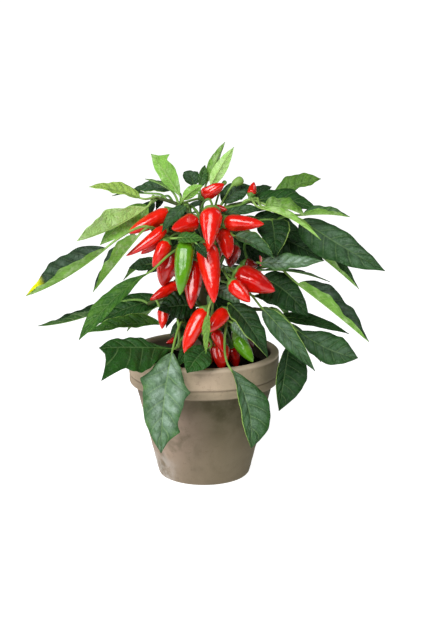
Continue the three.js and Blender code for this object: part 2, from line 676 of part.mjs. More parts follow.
function shootSolid(shoot, stemCut) {
  const pieces = [
    shootRod(shoot.curve),
    ...shoot.leaves.map((leaf) => leafGeometry(leaf, shoot.curve)),
    ...shoot.fruits.map((fruit) => pedicel(fruit, shoot.curve)),
    ...shoot.buds.map((knob) => bud(knob, shoot.curve)),
  ];
  return outerBody(wasm.Manifold.union(pieces.map(solid)).subtract(stemCut));
}

// The pot: a tapered clay wall with a heavy rolled rim, a shallow groove and a drain hole
function potWallRadius(height) {
  const top = POT.rimRadius - POT.rimStep;
  return POT.footRadius + ((top - POT.footRadius) * height) / (POT.height - POT.rimHeight);
}

function potInnerRadius(height) {
  const low = potWallRadius(POT.floor) - POT.wall;
  const high = POT.rimRadius - POT.wall - 0.6;
  return low + ((high - low) * (height - POT.floor)) / (POT.height - POT.floor);
}

function lathe(profile, sides) {
  return new THREE.LatheGeometry(
    profile.map(([r, z]) => new THREE.Vector2(r, z)),
    sides,
  ).rotateX(Math.PI / 2);
}

function potGeometry() {
  const top = POT.height;
  const rim = POT.rimRadius;
  const under = top - POT.rimHeight;
  const groove = top - POT.grooveBelowTop;
  const profile = [
    [POT.drainRadius, 0],
    [POT.footRadius - 1.5, 0],
    [POT.footRadius, 1.5],
    [potWallRadius(under), under],
    [rim - 2, under],
    [rim - 0.6, under + 1.5],
    [rim - 0.3, groove - 1.2],
    [rim - 0.3 - POT.grooveDepth, groove],
    [rim, groove + 1.2],
    [rim, top - POT.lip],
    [rim - POT.lip, top],
    [potInnerRadius(top) + POT.lip, top],
    [potInnerRadius(top), top - POT.lip],
    [potInnerRadius(POT.floor + 3), POT.floor + 3],
    [potInnerRadius(POT.floor) - 4, POT.floor],
    [POT.drainRadius, POT.floor],
    [POT.drainRadius, 0],
  ];
  return lathe(profile, POT.sides);
}

// Soil up to a little under the rim, uneven on top, with a plain hole for the stem
function soilGeometry() {
  const hole = STEM.footRadius + GAP;
  const edge = (height) => potInnerRadius(height) - GAP - 0.4;
  const profile = [
    [hole, STEM.foot - GAP],
    [0, STEM.foot - GAP],
  ].reverse();
  profile.push([hole, SOIL.top + 1], [18, SOIL.top + 2], [34, SOIL.top], [50, SOIL.top + 1]);
  profile.push([edge(SOIL.top), SOIL.top - 1], [edge(SOIL.top / 2), SOIL.top / 2]);
  profile.push([edge(POT.floor + 4), POT.floor + 4]);
  profile.push([edge(POT.floor + GAP) - 5, POT.floor + GAP], [0, POT.floor + GAP]);
  const geometry = lathe(profile.reverse(), SOIL.sides);
  const place = geometry.getAttribute("position");
  for (let i = 0; i < place.count; i++) {
    const [x, y, z] = [place.getX(i), place.getY(i), place.getZ(i)];
    const radius = Math.hypot(x, y);
    if (z < SOIL.top - 0.5 || radius < hole + 1 || radius > 52) continue;
    place.setZ(i, z + SOIL.unevenness * Math.sin(x * 0.31 + 1) * Math.cos(y * 0.27));
  }
  return geometry;
}

const finish = (color, roughness) => new THREE.MeshStandardMaterial({ color, roughness, metalness: 0 });
const CLAY = finish(0x9a8c76, 0.9);
const EARTH = finish(0x2a1d15, 1);
const BARK = finish(0x6f7a3c, 0.8);
const LEAF = finish(0x2f5a26, 0.5);
const RED = finish(0xd21408, 0.2);
const GREEN = finish(0x4f8f14, 0.25);

const plant = new THREE.Group();

function add(name, geometry, material) {
  const mesh = new THREE.Mesh(geometry, material);
  mesh.name = name;
  plant.add(mesh);
}

add("pot", geometryOf(solid(potGeometry())), CLAY);
add("soil", geometryOf(solid(soilGeometry())), EARTH);
add("stem", geometryOf(stemSolid(0)), BARK);

const stemCut = stemSolid(GAP);
let count = 0;
for (const shoot of allShoots()) {
  add(`shoot_${shoot.name}`, geometryOf(shootSolid(shoot, stemCut)), LEAF);
  for (const fruit of shoot.fruits) {
    count += 1;
    const name = `pepper_${String(count).padStart(2, "0")}`;
    add(name, geometryOf(solid(fruitBody(fruit))), fruit.green ? GREEN : RED);
  }
}

export default plant;
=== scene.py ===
"""The looks of a potted chilli pepper plant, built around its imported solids.

The tables give millimetres, and the places on the plant as a viewer in front of it sees them, with
the same values as the solids. Blender's own units are metres.
"""

import math
import random
from types import SimpleNamespace

import bpy
import numpy as np
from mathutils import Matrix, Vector, noise


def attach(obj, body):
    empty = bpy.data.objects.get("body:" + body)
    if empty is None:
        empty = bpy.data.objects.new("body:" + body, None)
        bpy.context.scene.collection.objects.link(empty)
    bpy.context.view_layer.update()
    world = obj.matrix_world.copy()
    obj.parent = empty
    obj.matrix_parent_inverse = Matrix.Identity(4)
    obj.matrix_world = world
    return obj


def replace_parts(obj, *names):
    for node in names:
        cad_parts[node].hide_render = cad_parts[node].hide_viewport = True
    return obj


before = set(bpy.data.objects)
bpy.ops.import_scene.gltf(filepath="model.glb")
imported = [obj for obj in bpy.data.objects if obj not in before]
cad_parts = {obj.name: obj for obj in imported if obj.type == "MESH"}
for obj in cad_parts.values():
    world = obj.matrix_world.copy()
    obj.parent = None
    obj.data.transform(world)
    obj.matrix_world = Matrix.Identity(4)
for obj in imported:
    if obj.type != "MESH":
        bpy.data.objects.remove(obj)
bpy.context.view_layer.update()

# Places
VIEW = SimpleNamespace(distance=1500, lens=85.58, pitch=14, aim_right=6.5, aim_up=154.5, aim_height=163.3)
PITCH_SIN = math.sin(math.radians(VIEW.pitch))
PITCH_COS = math.cos(math.radians(VIEW.pitch))
UP = np.array([0.0, 0.0, 1.0])

# The pot, the soil and the stem, as the solids have them
POT = SimpleNamespace(
    height=128, rim_radius=75.4, rim_height=31, rim_step=6, foot_radius=46, wall=7.5, floor=9,
    lip=2.2, groove_below_top=22, groove_depth=0.9, drain_radius=8, sides=144,
)
SOIL = SimpleNamespace(top=110, radius=66.2, sides=120, clods=150, clod_reach=64)
STEM = SimpleNamespace(foot=84, foot_radius=6.4, top_radius=2.6)
SHOOT = SimpleNamespace(start_radius=2.7, end_radius=1.5, joints=(0, 0.25, 0.5, 0.75, 1))
STALK_RADIUS = 1.15
GAP = 0.3

# How a leaf looks: the tones of its upper side and of its underside, from dark to light, and how
# much painted sheen, a whitish-grey reflection laid into the colour, its upper side has. The shade
# look is painted shade: near-black leaves set where the depth of the plant lies in shade.
LOOKS = {
    "shade": (0.06, 0.12, 0),
    "dark": (0.2, 0.34, 0.06),
    "blue": (0.32, 0.44, 0.26),
    "painted_sheen": (0.46, 0.5, 0.95),
    "grey": (0.34, 0.5, 0.32),
    "mid": (0.5, 0.58, 0.2),
    "fold": (0.14, 0.74, 0.22),
    "bright": (0.46, 0.82, 0.3),
    "deep": (0.32, 0.46, 0.04),
    "grass": (0.5, 0.64, 0.04),
    "fresh": (0.64, 0.76, 0.1),
    "light": (0.78, 0.86, 0.1),
    "young": (0.94, 0.96, 0.05),
    "pale": (0.9, 1, 0.4),
}


def leaf(along, base, tip, width, face, look, **more):
    """One leaf. along: where on the shoot its petiole starts. swing: a place that the petiole passes.
    base, tip and via: points of its midrib, which otherwise bows up by arch. face: where the upper
    side looks. edge: the side, -1 or 1, with a painted highlight along its edge. gold: the side,
    -1 or 1, with a yellow tip. sides: how wide each half is. late: how much nearer to the tip it is
    broadest. teeth: (share, side, out, forward)."""
    usual = dict(
        fold=12, arch=6, twist=0, via=None, swing=None, far=False,
        edge=0, gold=0, sides=(1, 1), late=0, teeth=(), veins=7,
    )
    given = dict(along=along, base=base, tip=tip, width=width, face=face, look=look)
    return {"kind": "leaf", **usual, **given, **more}


def bud(along, neck, tip, radius):
    return dict(kind="bud", along=along, neck=neck, tip=tip, radius=radius)


def fruit(along, neck, tip, width, taper=1.6, **more):
    """One fruit. shade: how dark its skin and calyx are, as painted shade for fruits deep in the plant.
    wrinkle: how deep its folds are.
    """
    usual = dict(bend=0, green=False, shade=0.2, wrinkle=0.3)
    given = dict(along=along, neck=neck, tip=tip, width=width, taper=taper)
    return {"kind": "fruit", **usual, **given, **more}


# Each shoot: its height on the stem and the places that it runs through, then its leaves, its buds
# and its fruits
SHOOTS = {}
SHOOTS["low_left"] = [
    (133, (-10, 138, 26), (-26, 150, 46)),
    leaf(0.85, (-32, 118, 70), (-43, 17, 82), 64, (0.1, 0.2, 1), "painted_sheen", via=(-40, 70, 84), veins=6,
         sides=(1.1, 1), late=0.08, teeth=[(0.4, 1, 6, 0), (0.8, 1, 6, 0), (0.33, -1, 7, 0)]),
    leaf(1, (-31, 121, 56), (-105, 122, 84), 72, (-0.1, 0.65, 0.8), "deep", fold=8, arch=2, veins=6,
         sides=(0.55, 1.62), late=0.25, teeth=[(0.85, 1, 21, 19)]),
    leaf(0.5, (5, 122, 56), (-17, 97, 77), 42, (0.2, 0.55, 0.8), "deep", fold=22, arch=8, sides=(1, 1.3),
         late=0.22),
    leaf(0.45, (-8, 160, 22), (-30, 122, 26), 34, (0, 0.4, 0.9), "shade", arch=5),
    leaf(0.7, (-13, 124, 44), (-26, 103, 52), 22, (0.3, 0.5, 0.8), "deep", fold=22, arch=5, edge=1),
    leaf(0.55, (-20, 149, 24), (-34, 134, 32), 15, (0, 0.5, 0.85), "blue", arch=3),
    bud(0.6, (-24, 128, 44), (-26, 122, 46), 2.4),
    fruit(0.35, (1, 160, 54), (-19, 116, 62), 16, 2.4, bend=-5, shade=0.1),
    fruit(0.8, (-40, 161, 34), (-42, 141, 42), 12, 1.4),
    fruit(0.95, (-26, 131, 18), (-38, 127, 24), 7, 1.4, shade=0.5),
]
SHOOTS["low_right"] = [
    (140, (12, 142, 24), (30, 146, 42)),
    leaf(0.8, (26, 102, 72), (47, 22, 92), 44, (0.35, 0.2, 0.9), "grey", fold=16, via=(43, 66, 88),
         edge=-1, sides=(0.75, 1.6), late=0.25),
    leaf(1, (26, 166, 56), (64, 112, 84), 48, (0.4, 0.35, 0.8), "dark", fold=16, arch=10, edge=-1),
    leaf(0.35, (10, 170, 14), (26, 130, 10), 40, (0, 0.4, 0.9), "shade", arch=5),
    leaf(0.7, (28, 147, 52), (44, 128, 60), 18, (0, 0.5, 0.85), "painted_sheen", arch=3),
    leaf(0.2, (4, 156, 72), (2, 116, 85), 18, (-0.7, 0.1, 0.7), "light", fold=16, arch=3,
         swing=(9, 172, 48)),
    fruit(0.6, (21, 159, 50), (4, 138, 66), 15, 2.2, wrinkle=0.6),
    fruit(0.55, (12, 139, 44), (19, 118, 54), 12, 1.7, shade=0.4),
    fruit(0.65, (17, 125, 32), (18, 100, 40), 17, 2.2, wrinkle=0.7),
    fruit(0.75, (28, 122, 16), (33, 102, 20), 13, 1.8, shade=0.5),
    fruit(0.45, (6, 128, 20), (7, 106, 26), 13, 1.8, shade=0.5),
    fruit(0.9, (33, 132, 34), (49, 108, 42), 14, 2.2, green=True),
    fruit(0.95, (42, 136, 0), (49, 122, 2), 9, shade=0.8),
]
SHOOTS["right_low"] = [
    (154, (36, 160, 6), (68, 160, 12)),
    leaf(0.85, (86, 128, 22), (75, 59, 34), 54, (-0.1, 0.2, 1), "dark", fold=20, arch=5, edge=-1,
         sides=(0.5, 1.5), late=0.1),
    leaf(1, (93, 140, 0), (154, 112, 16), 58, (-0.1, 0.5, 0.85), "blue", arch=-10, late=0.15),
    leaf(0.95, (86, 146, -12), (117, 108, -4), 16, (-0.5, 0.5, 0.6), "grey", fold=20, arch=5),
    leaf(0.9, (74, 153, -18), (145, 136, -8), 26, (0, 0.55, 0.8), "deep", fold=14, arch=8),
]
SHOOTS["right_mid"] = [
    (186, (26, 196, 14), (66, 204, 18)),
    leaf(0.6, (58, 192, 22), (105, 153, 40), 50, (-0.1, 0.5, 0.85), "dark", arch=12, sides=(1.6, 1)),
    leaf(1, (94, 186, 36), (165, 128, 62), 66, (0.3, 0.85, 0.48), "fold", fold=61, arch=2, sides=(1, 0.92)),
    leaf(0.75, (60, 200, -16), (126, 188, -24), 24, (0, 1, 0.1), "dark", fold=20, arch=8),
    leaf(0.9, (57, 207, 46), (119, 209, 66), 38, (0, 0.7, 0.75), "painted_sheen", arch=-2),
    leaf(0.7, (46, 226, -8), (86, 204, -8), 34, (0, 0.5, 0.85), "shade", arch=4),
    leaf(0.25, (12, 182, 42), (37, 164, 54), 28, (0, 0.6, 0.8), "painted_sheen", arch=4),
    leaf(0.4, (50, 174, 34), (88, 159, 38), 18, (0, 0.8, 0.6), "mid", fold=20, arch=4, edge=1),
    leaf(0.3, (59, 161, 48), (111, 99, 86), 35, (-0.4, 0.35, 0.85), "grey", fold=14, arch=4, edge=1,
         swing=(42, 180, 34)),
    fruit(0.5, (34, 196, 46), (71, 179, 62), 26, 1.5, shade=0.4, wrinkle=0.8),
    fruit(0.4, (28, 187, 62), (46, 168, 74), 15, 2, wrinkle=0.4),
    fruit(0.65, (41, 206, 26), (54, 204, 28), 12, shade=0.9),
]
SHOOTS["right_up"] = [
    (214, (26, 238, 22), (72, 248, 14)),
    leaf(1, (97, 250, 0), (181, 199, 46), 64, (-0.15, 0.55, 0.85), "blue", fold=10, arch=-3,
         sides=(1.25, 0.78)),
    leaf(0.9, (102, 226, -16), (155, 181, 8), 40, (0.3, 0.85, 0.45), "bright", fold=60, arch=2),
    leaf(0.65, (68, 249, 20), (72, 213, 56), 56, (0, 0.65, 0.75), "dark", fold=14, arch=10, edge=1),
    leaf(0.5, (31, 234, 52), (70, 212, 84), 34, (0.1, 0.6, 0.8), "grey", fold=32, edge=1),
    leaf(0.8, (58, 238, 2), (120, 209, 8), 46, (0, 0.5, 0.85), "dark", sides=(1.6, 1)),
    leaf(0.5, (50, 253, 6), (106, 226, 4), 44, (0, 0.6, 0.8), "dark"),
    fruit(0.35, (21, 248, 44), (60, 246, 58), 16, 2, wrinkle=0.6),
    fruit(0.3, (17, 240, 36), (24, 211, 46), 17, 2.2, bend=3, wrinkle=1),
    fruit(0.45, (29, 224, 22), (26, 203, 32), 17, 1.8, shade=0.6, wrinkle=0.9),
    fruit(0.25, (2, 226, 54), (10, 167, 72), 22, bend=2, wrinkle=0.25),
]
SHOOTS["right_top"] = [
    (240, (18, 258, 8), (52, 270, 6)),
    leaf(1, (62, 263, 32), (101, 254, 48), 44, (0.1, 1, 0.1), "fresh", fold=50, arch=7),
    leaf(0.9, (60, 261, 46), (117, 230, 72), 26, (0.3, 0.9, 0.1), "light", fold=52, arch=10),
    leaf(0.6, (45, 268, -6), (113, 260, 12), 54, (0, 0.75, 0.65), "deep", fold=10, arch=12, late=0.06),
    leaf(0.95, (66, 272, -24), (117, 291, -30), 48, (0, 0.8, 0.6), "fresh", fold=20, late=0.15),
    leaf(0.8, (99, 255, 24), (146, 253, 34), 30, (0, 0.9, 0.4), "bright", fold=56, arch=4),
    leaf(0.35, (19, 267, 8), (47, 284, -12), 40, (0, 0.6, 0.8), "blue", fold=10),
    leaf(0.5, (50, 274, -22), (68, 283, -40), 24, (0, 0.8, 0.6), "dark", fold=14, arch=5),
    leaf(0.25, (20, 256, 12), (62, 260, 12), 22, (0, 0.6, 0.8), "blue", arch=4),
    bud(0.2, (29, 285, 6), (39, 291, 4), 4.6),
    bud(0.15, (18, 284, 2), (22, 289, 0), 2.4),
    fruit(0.45, (47, 275, 4), (50, 288, -2), 9, wrinkle=0.6),
    fruit(0.3, (12, 262, 18), (23, 260, 26), 8, shade=0.5, wrinkle=0.8),
]
SHOOTS["top"] = [
    (258, (-2, 268, 10), (2, 280, 8)),
    leaf(1, (7, 285, 14), (30, 323, 2), 24, (0.2, 0.2, -1), "pale", fold=22, arch=3),
    leaf(0.9, (3, 288, -12), (21, 328, -30), 22, (-0.5, 0.3, -0.8), "fresh", fold=25, arch=3),
    leaf(0.75, (-4, 282, -4), (1, 305, -16), 18, (0.4, 0.3, 1), "mid", fold=30, arch=3),
    leaf(0.6, (-10, 284, -26), (-17, 299, -50), 30, (0, 0.7, 0.7), "blue"),
    leaf(0.65, (-21, 270, 34), (-1, 284, 42), 20, (0.2, 0.3, -0.9), "fresh", fold=20, arch=5),
    fruit(0.35, (8, 260, 56), (5, 221, 76), 22, 1.2, wrinkle=0.2),
    fruit(0.8, (-1, 274, 18), (20, 286, 26), 14, 2.2, wrinkle=0.8),
]
SHOOTS["top_left"] = [
    (246, (-18, 262, 12), (-50, 273, 10)),
    leaf(0.45, (-24, 274, 14), (-53, 316, 0), 35, (0.3, 0.2, -0.9), "fresh", fold=14, arch=4,
         sides=(0.9, 1), late=0.12, teeth=[(0.77, 1, 8, -3)]),
    leaf(0.9, (-64, 272, 28), (-115, 283, 34), 36, (-0.1, 0.8, 0.6), "young", fold=20, arch=5),
    leaf(0.8, (-60, 277, -14), (-92, 274, -14), 18, (0, 1, 0.2), "dark", fold=30, arch=3),
    leaf(0.55, (-32, 280, -20), (-73, 279, -24), 34, (0, 0.75, 0.65), "blue", fold=14, edge=1),
    leaf(0.6, (-35, 281, 0), (-59, 291, -8), 14, (0, 1, 0), "mid", fold=30, arch=3),
    leaf(1, (-57, 263, 24), (-127, 229, 44), 56, (-0.2, 0.95, -0.2), "pale", fold=52, arch=-8,
         sides=(0.65, 1.2), late=0.12),
    leaf(0.95, (-56, 264, 10), (-104, 225, 26), 44, (0.2, -0.2, -0.9), "bright", fold=10),
    leaf(0.85, (-50, 268, -4), (-74, 236, 8), 24, (0.1, 0.5, 0.8), "dark", fold=10, arch=5),
    leaf(0.7, (-42, 271, -10), (-48, 260, -6), 12, (0, 0.3, 0.9), "shade", fold=14, arch=2),
    leaf(0.35, (-19, 264, 36), (-42, 238, 60), 26, (-0.2, 0.5, 0.85), "blue", arch=4),
    fruit(0.45, (-9, 249, 48), (-32, 241, 74), 18, 1.5, wrinkle=1),
    fruit(0.55, (-35, 258, 26), (-76, 237, 36), 16, 2.3, bend=1, shade=0.1),
]
SHOOTS["left_up"] = [
    (206, (-22, 232, 26), (-52, 240, 38)),
    leaf(1, (-98, 222, 50), (-178, 174, 40), 56, (-0.2, 0.87, 0.5), "fold", fold=60, arch=-10, gold=-1,
         sides=(1.25, 1), late=0.04),
    leaf(0.95, (-66, 234, 60), (-111, 178, 84), 48, (-0.72, 0.57, 0.37), "fold", fold=68, arch=0,
         sides=(0.85, 1.05)),
    leaf(0.47, (-56, 197, 64), (-125, 130, 92), 38, (-0.35, 0.5, 0.8), "grass", fold=18, arch=13,
         swing=(-34, 216, 52), late=0.2),
    leaf(0.74, (-50, 206, 10), (-75, 202, 6), 24, (0, 0.3, 0.95), "dark", arch=2),
    leaf(0.38, (-27, 232, 66), (1, 230, 74), 20, (0, 0.4, 0.9), "grass", arch=2),
    leaf(0.34, (-7, 226, 74), (3, 211, 82), 16, (0, 0.4, 0.9), "dark", arch=2, swing=(-9, 238, 48)),
    fruit(0.6, (-39, 242, 46), (-78, 214, 54), 12, bend=5),
    fruit(0.65, (-44, 230, 26), (-63, 216, 30), 11, shade=0.4, wrinkle=0.7),
    fruit(0.5, (-37, 228, 46), (-51, 203, 52), 14, 1.9, wrinkle=0.8),
    fruit(0.4, (-33, 217, 28), (-42, 184, 34), 24, 1.8, shade=0.45, wrinkle=0.9),
    fruit(0.35, (-18, 228, 58), (-24, 175, 66), 18, 2, green=True, wrinkle=0.5),
    fruit(0.3, (-10, 208, 42), (-13, 161, 58), 19, 1.8, shade=0.4, wrinkle=0.6),
]
SHOOTS["left_low"] = [
    (170, (-22, 176, 12), (-56, 166, 4)),
    leaf(1, (-94, 164, -12), (-166, 144, 0), 40, (-0.2, 0.9, 0.4), "dark", fold=40, arch=-8, twist=30),
    leaf(0.7, (-44, 170, -10), (-108, 146, -4), 46, (-0.1, 0.6, 0.8), "deep", fold=10, arch=8),
    leaf(0.85, (-44, 146, 26), (-118, 137, 40), 40, (0, 0.75, 0.55), "grass", fold=30, edge=-1,
         sides=(1, 1.3)),
    leaf(0.5, (-8, 164, 40), (-46, 160, 52), 52, (0.1, 0.35, 0.9), "shade", fold=10, arch=4),
    fruit(0.6, (-27, 186, 24), (-54, 170, 36), 12, 1.9, shade=0.25),
]

# The far side's rule: which way, in degrees, and how high its leaves and fruits grow
BACK = SimpleNamespace(
    start=40, end=140, leaves=14, leaf_phase=0.2, low=152, high=266,
    fruits=3, fruit_phase=0.1, fruit_radius=72, fruit_height=220,
)
GOLDEN_SECTION = 0.61803
# Each far shoot: the angles between which it carries leaves and fruits by the rule, and its height
# on the stem, then its inner leaves
BACK_SHOOTS = {}
BACK_SHOOTS["back_right"] = [
    (0, 72, 178),
    leaf(0.45, (14, 226, -14), (56, 198, -28), 44, (0.1, 0.5, 0.85), "shade"),
    leaf(0.6, (12, 200, -20), (34, 144, -30), 44, (0, 0.3, 0.95), "shade"),
    leaf(0.9, (14, 258, -22), (44, 230, -34), 42, (0.1, 0.4, 0.9), "shade"),
    leaf(0.55, (24, 244, -6), (56, 202, -14), 44, (0.1, 0.3, 0.95), "shade"),
]
BACK_SHOOTS["back_middle"] = [
    (72, 108, 195),
    leaf(0.42, (2, 242, -16), (-6, 168, -30), 50, (0, 0.3, 0.95), "shade"),
    leaf(0.8, (2, 250, -4), (-38, 222, -8), 30, (0, 0.3, 0.95), "shade", arch=3),
]
BACK_SHOOTS["back_left"] = [
    (108, 180, 144),
    leaf(0.45, (-12, 222, -14), (-58, 196, -26), 44, (-0.1, 0.5, 0.85), "shade"),
    leaf(0.6, (-14, 196, -20), (-38, 142, -30), 40, (0, 0.3, 0.95), "shade"),
    leaf(0.9, (-14, 256, -22), (-46, 226, -32), 40, (-0.1, 0.4, 0.9), "shade"),
]
BACK_LOOKS = ("dark", "blue", "mid", "dark", "fold", "blue", "grey")


def turned(right, up, near):
    """A direction seen from the front, in the shared frame."""
    return np.array([right, up * PITCH_SIN - near * PITCH_COS, up * PITCH_COS + near * PITCH_SIN])


def seen(place):
    """A place seen from the front, in the shared frame."""
    right, up, near = place
    scale = 1 - near / VIEW.distance
    middle = np.array([VIEW.aim_right, 0, VIEW.aim_height])
    return turned((right - VIEW.aim_right) * scale, (up - VIEW.aim_up) * scale, near) + middle


def around(degrees, radius, height):
    angle = math.radians(degrees)
    return np.array([radius * math.cos(angle), radius * math.sin(angle), height])


def turns(sides):
    """The angles of a ring's points."""
    return np.arange(sides) * math.tau / sides


def unit(vector):
    return vector / np.linalg.norm(vector, axis=-1, keepdims=True)


def back_leaf(k):
    span = BACK.end - BACK.start
    angle = BACK.start + span * ((k * GOLDEN_SECTION + BACK.leaf_phase) % 1)
    level = k / (BACK.leaves - 1)
    foot = BACK.low + (BACK.high - BACK.low) * level
    reach = 124 - 26 * level + 10 * math.sin(k * 2.1)
    drop = 44 - 36 * level + 8 * math.cos(k * 1.7)
    return leaf(
        0.35 + 0.65 * level,
        around(angle, 56, foot + 6),
        around(angle + 8 * math.sin(k * 1.3), reach, foot - drop),
        44 + 8 * math.sin(k * 2.7),
        around(angle, 0.35, 0.9),
        BACK_LOOKS[k % len(BACK_LOOKS)],
        fold=16 + 10 * math.cos(k * 1.9),
        arch=14,
        far=True,
        angle=angle,
    )


def back_fruit(k):
    angle = BACK.start + (BACK.end - BACK.start) * ((k + BACK.fruit_phase) / BACK.fruits)
    height = BACK.fruit_height + 36 * ((k * GOLDEN_SECTION) % 1)
    neck = around(angle, BACK.fruit_radius, height)
    tip = around(angle + 3, BACK.fruit_radius + 8, height - 42)
    return fruit(0.6, neck, tip, 13, 1.8, angle=angle)


# Lines: rows of points
def quadratic(a, b, c, t):
    t = np.asarray(t, float)[:, None]
    return a * (1 - t) ** 2 + 2 * b * t * (1 - t) + c * t**2


def cubic(a, b, c, d, t):
    t = np.asarray(t, float)[:, None]
    return a * (1 - t) ** 3 + 3 * b * t * (1 - t) ** 2 + 3 * c * t**2 * (1 - t) + d * t**3


def smooth_line(points):
    """A centripetal Catmull-Rom line through the points."""
    points = [np.asarray(p, float) for p in points]
    ends = [2 * points[0] - points[1], *points, 2 * points[-1] - points[-2]]
    line = []
    for p0, p1, p2, p3 in zip(ends, ends[1:], ends[2:], ends[3:]):
        d0, d1, d2 = (math.sqrt(np.linalg.norm(q - p)) for p, q in ((p0, p1), (p1, p2), (p2, p3)))
        out = ((p1 - p0) / d0 - (p2 - p0) / (d0 + d1) + (p2 - p1) / d1) * d1
        into = ((p2 - p1) / d1 - (p3 - p1) / (d1 + d2) + (p3 - p2) / d2) * d1
        squared = 3 * (p2 - p1) - 2 * out - into
        cubed = 2 * (p1 - p2) + out + into
        t = np.linspace(0, 1, 60, endpoint=False)[:, None]
        line.append(p1 + out * t + squared * t**2 + cubed * t**3)
    return np.vstack([*line, points[-1:]])


def length_of(line):
    return np.linalg.norm(np.diff(line, axis=0), axis=1).sum()


def on_line(line, share):
    """The points at these shares of a line's length."""
    lengths = np.concatenate([[0], np.cumsum(np.linalg.norm(np.diff(line, axis=0), axis=1))])
    wanted = np.clip(np.asarray(share, float), 0, 1) * lengths[-1]
    return np.stack([np.interp(wanted, lengths, line[:, i]) for i in range(3)], axis=-1)


def direction_on(line, share):
    step = 0.0001
    return unit(on_line(line, share + step) - on_line(line, share - step))


def carried(along, guide):
    """The direction across a line at each of its points, carried along without twisting."""
    across = np.asarray(guide, float)
    rows = []
    for tangent in along:
        across = unit(across - tangent * across.dot(tangent))
        rows.append(across)
    return np.array(rows)


# Meshes
def in_scene(name, data):
    made = bpy.data.objects.new(name, data)
    bpy.context.scene.collection.objects.link(made)
    return made


class Shape:
    """Closed bodies that make one mesh. Every point has a place and a tint, which its material
    reads: one number each, or four."""

    def __init__(self):
        self.points, self.faces, self.slots = [], [], []
        self.places, self.tints = [], []
        self.count = 0

    def add(self, points, faces, slots, tint, place=0):
        total = len(points)
        self.points.append(points)
        self.faces += [tuple(i + self.count for i in face) for face in faces]
        self.slots += slots if isinstance(slots, list) else [slots] * len(faces)
        self.places.append(np.broadcast_to(place, (total, 4)))
        self.tints.append(np.broadcast_to(tint, (total, 4)))
        self.count += total

    def build(self, name, materials):
        mesh = bpy.data.meshes.new(name)
        mesh.from_pydata((np.vstack(self.points) / 1000).tolist(), [], self.faces)
        for made in materials:
            mesh.materials.append(made)
        mesh.polygons.foreach_set("material_index", self.slots)
        mesh.polygons.foreach_set("use_smooth", [True] * len(self.faces))
        for kind, rows in (("place", self.places), ("tint", self.tints)):
            attribute = mesh.attributes.new(kind, "FLOAT_COLOR", "POINT")
            attribute.data.foreach_set("color", np.vstack(rows).astype(np.float32).ravel())
        mesh.update()
        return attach(in_scene(name, mesh), "root")


def rings(rows, sides, closed=False):
    """The faces between rings of points, and from the last ring to the first if closed."""
    faces = []
    for i in range(rows if closed else rows - 1):
        ring, after = i * sides, (i + 1) % rows * sides
        for k in range(sides):
            beside = (k + 1) % sides
            faces.append((ring + k, ring + beside, after + beside, after + k))
    return faces


def tube(shape, line, radii, sides, slot, tint, guide=(0.3, 0.1, 1), lift=None):
    """A closed round body along a line. radii and lift: one value a row, or one a point."""
    rows = len(line)
    along = unit(np.gradient(line, axis=0))
    across = carried(along, guide)
    other = np.cross(along, across)
    turn = turns(sides)
    ring = across[:, None] * np.cos(turn)[:, None] + other[:, None] * np.sin(turn)[:, None]
    radii = np.broadcast_to(np.reshape(radii, (rows, -1)), (rows, sides))
    points = line[:, None] + radii[..., None] * ring
    if lift is not None:
        points = points + lift[..., None] * along[:, None]
    ends = [points[0].mean(0), points[-1].mean(0)]
    start, last = rows * sides, (rows - 1) * sides
    faces = rings(rows, sides)
    for k in range(sides):
        beside = (k + 1) % sides
        faces += [(start, beside, k), (start + 1, last + k, last + beside)]
    shape.add(np.vstack([points.reshape(-1, 3), *ends]), faces, slot, tint)


def lathe(shape, profile, sides, tint, uneven):
    """A closed turned body from a closed profile of (radius, height) or (radius, height, place)."""
    turn = turns(sides)
    columns = np.array(profile, float).T
    radius, height, *place = (np.repeat(column[:, None], sides, axis=1) for column in columns)
    radius, height = uneven(radius, height, turn[None, :])
    points = np.stack([radius * np.cos(turn), radius * np.sin(turn), height], axis=-1).reshape(-1, 3)
    faces = rings(len(profile), sides, closed=True)
    shape.add(points, faces, 0, tint, place[0].reshape(-1, 1) if place else 0)


# A leaf: its midrib, its petiole and its blade
UPPER, UNDER, STALK, BARK = range(4)


def midrib(item):
    middle = (item.base + item.tip) / 2
    if item.via is not None:
        return 2 * item.via - middle
    return middle + UP * item.arch


def petiole_line(item, shoot):
    inward = unit(midrib(item) - item.base)
    start = on_line(shoot, item.along)
    reach = np.linalg.norm(start - item.base) * 0.4
    if item.swing is not None:
        line = smooth_line([start, item.swing, item.base - inward * 4, item.base])
        return on_line(line, np.linspace(0, 1, 18))
    away = start + direction_on(shoot, item.along) * reach * 0.3 + UP * reach * 0.5
    return cubic(start, away, item.base - inward * reach, item.base, np.linspace(0, 1, 16))


def half_width(item, t):
    """Broadest before the middle, or nearer to the tip for a late leaf."""
    t = t ** (1 + 4 * item.late)
    return item.width / 2 * 1.78 * t**0.62 * (1 - t) ** 1.05


def blade_frames(item, t):
    control = midrib(item)
    rib = quadratic(item.base, control, item.tip, t)
    share = t[:, None]
    along = unit((control - item.base) * (1 - share) + (item.tip - control) * share)
    flat = unit(item.face - along * (along @ item.face)[:, None])
    turn = np.radians(item.twist * share)
    normal = flat * np.cos(turn) + np.cross(along, flat) * np.sin(turn)
    return rib, along, normal


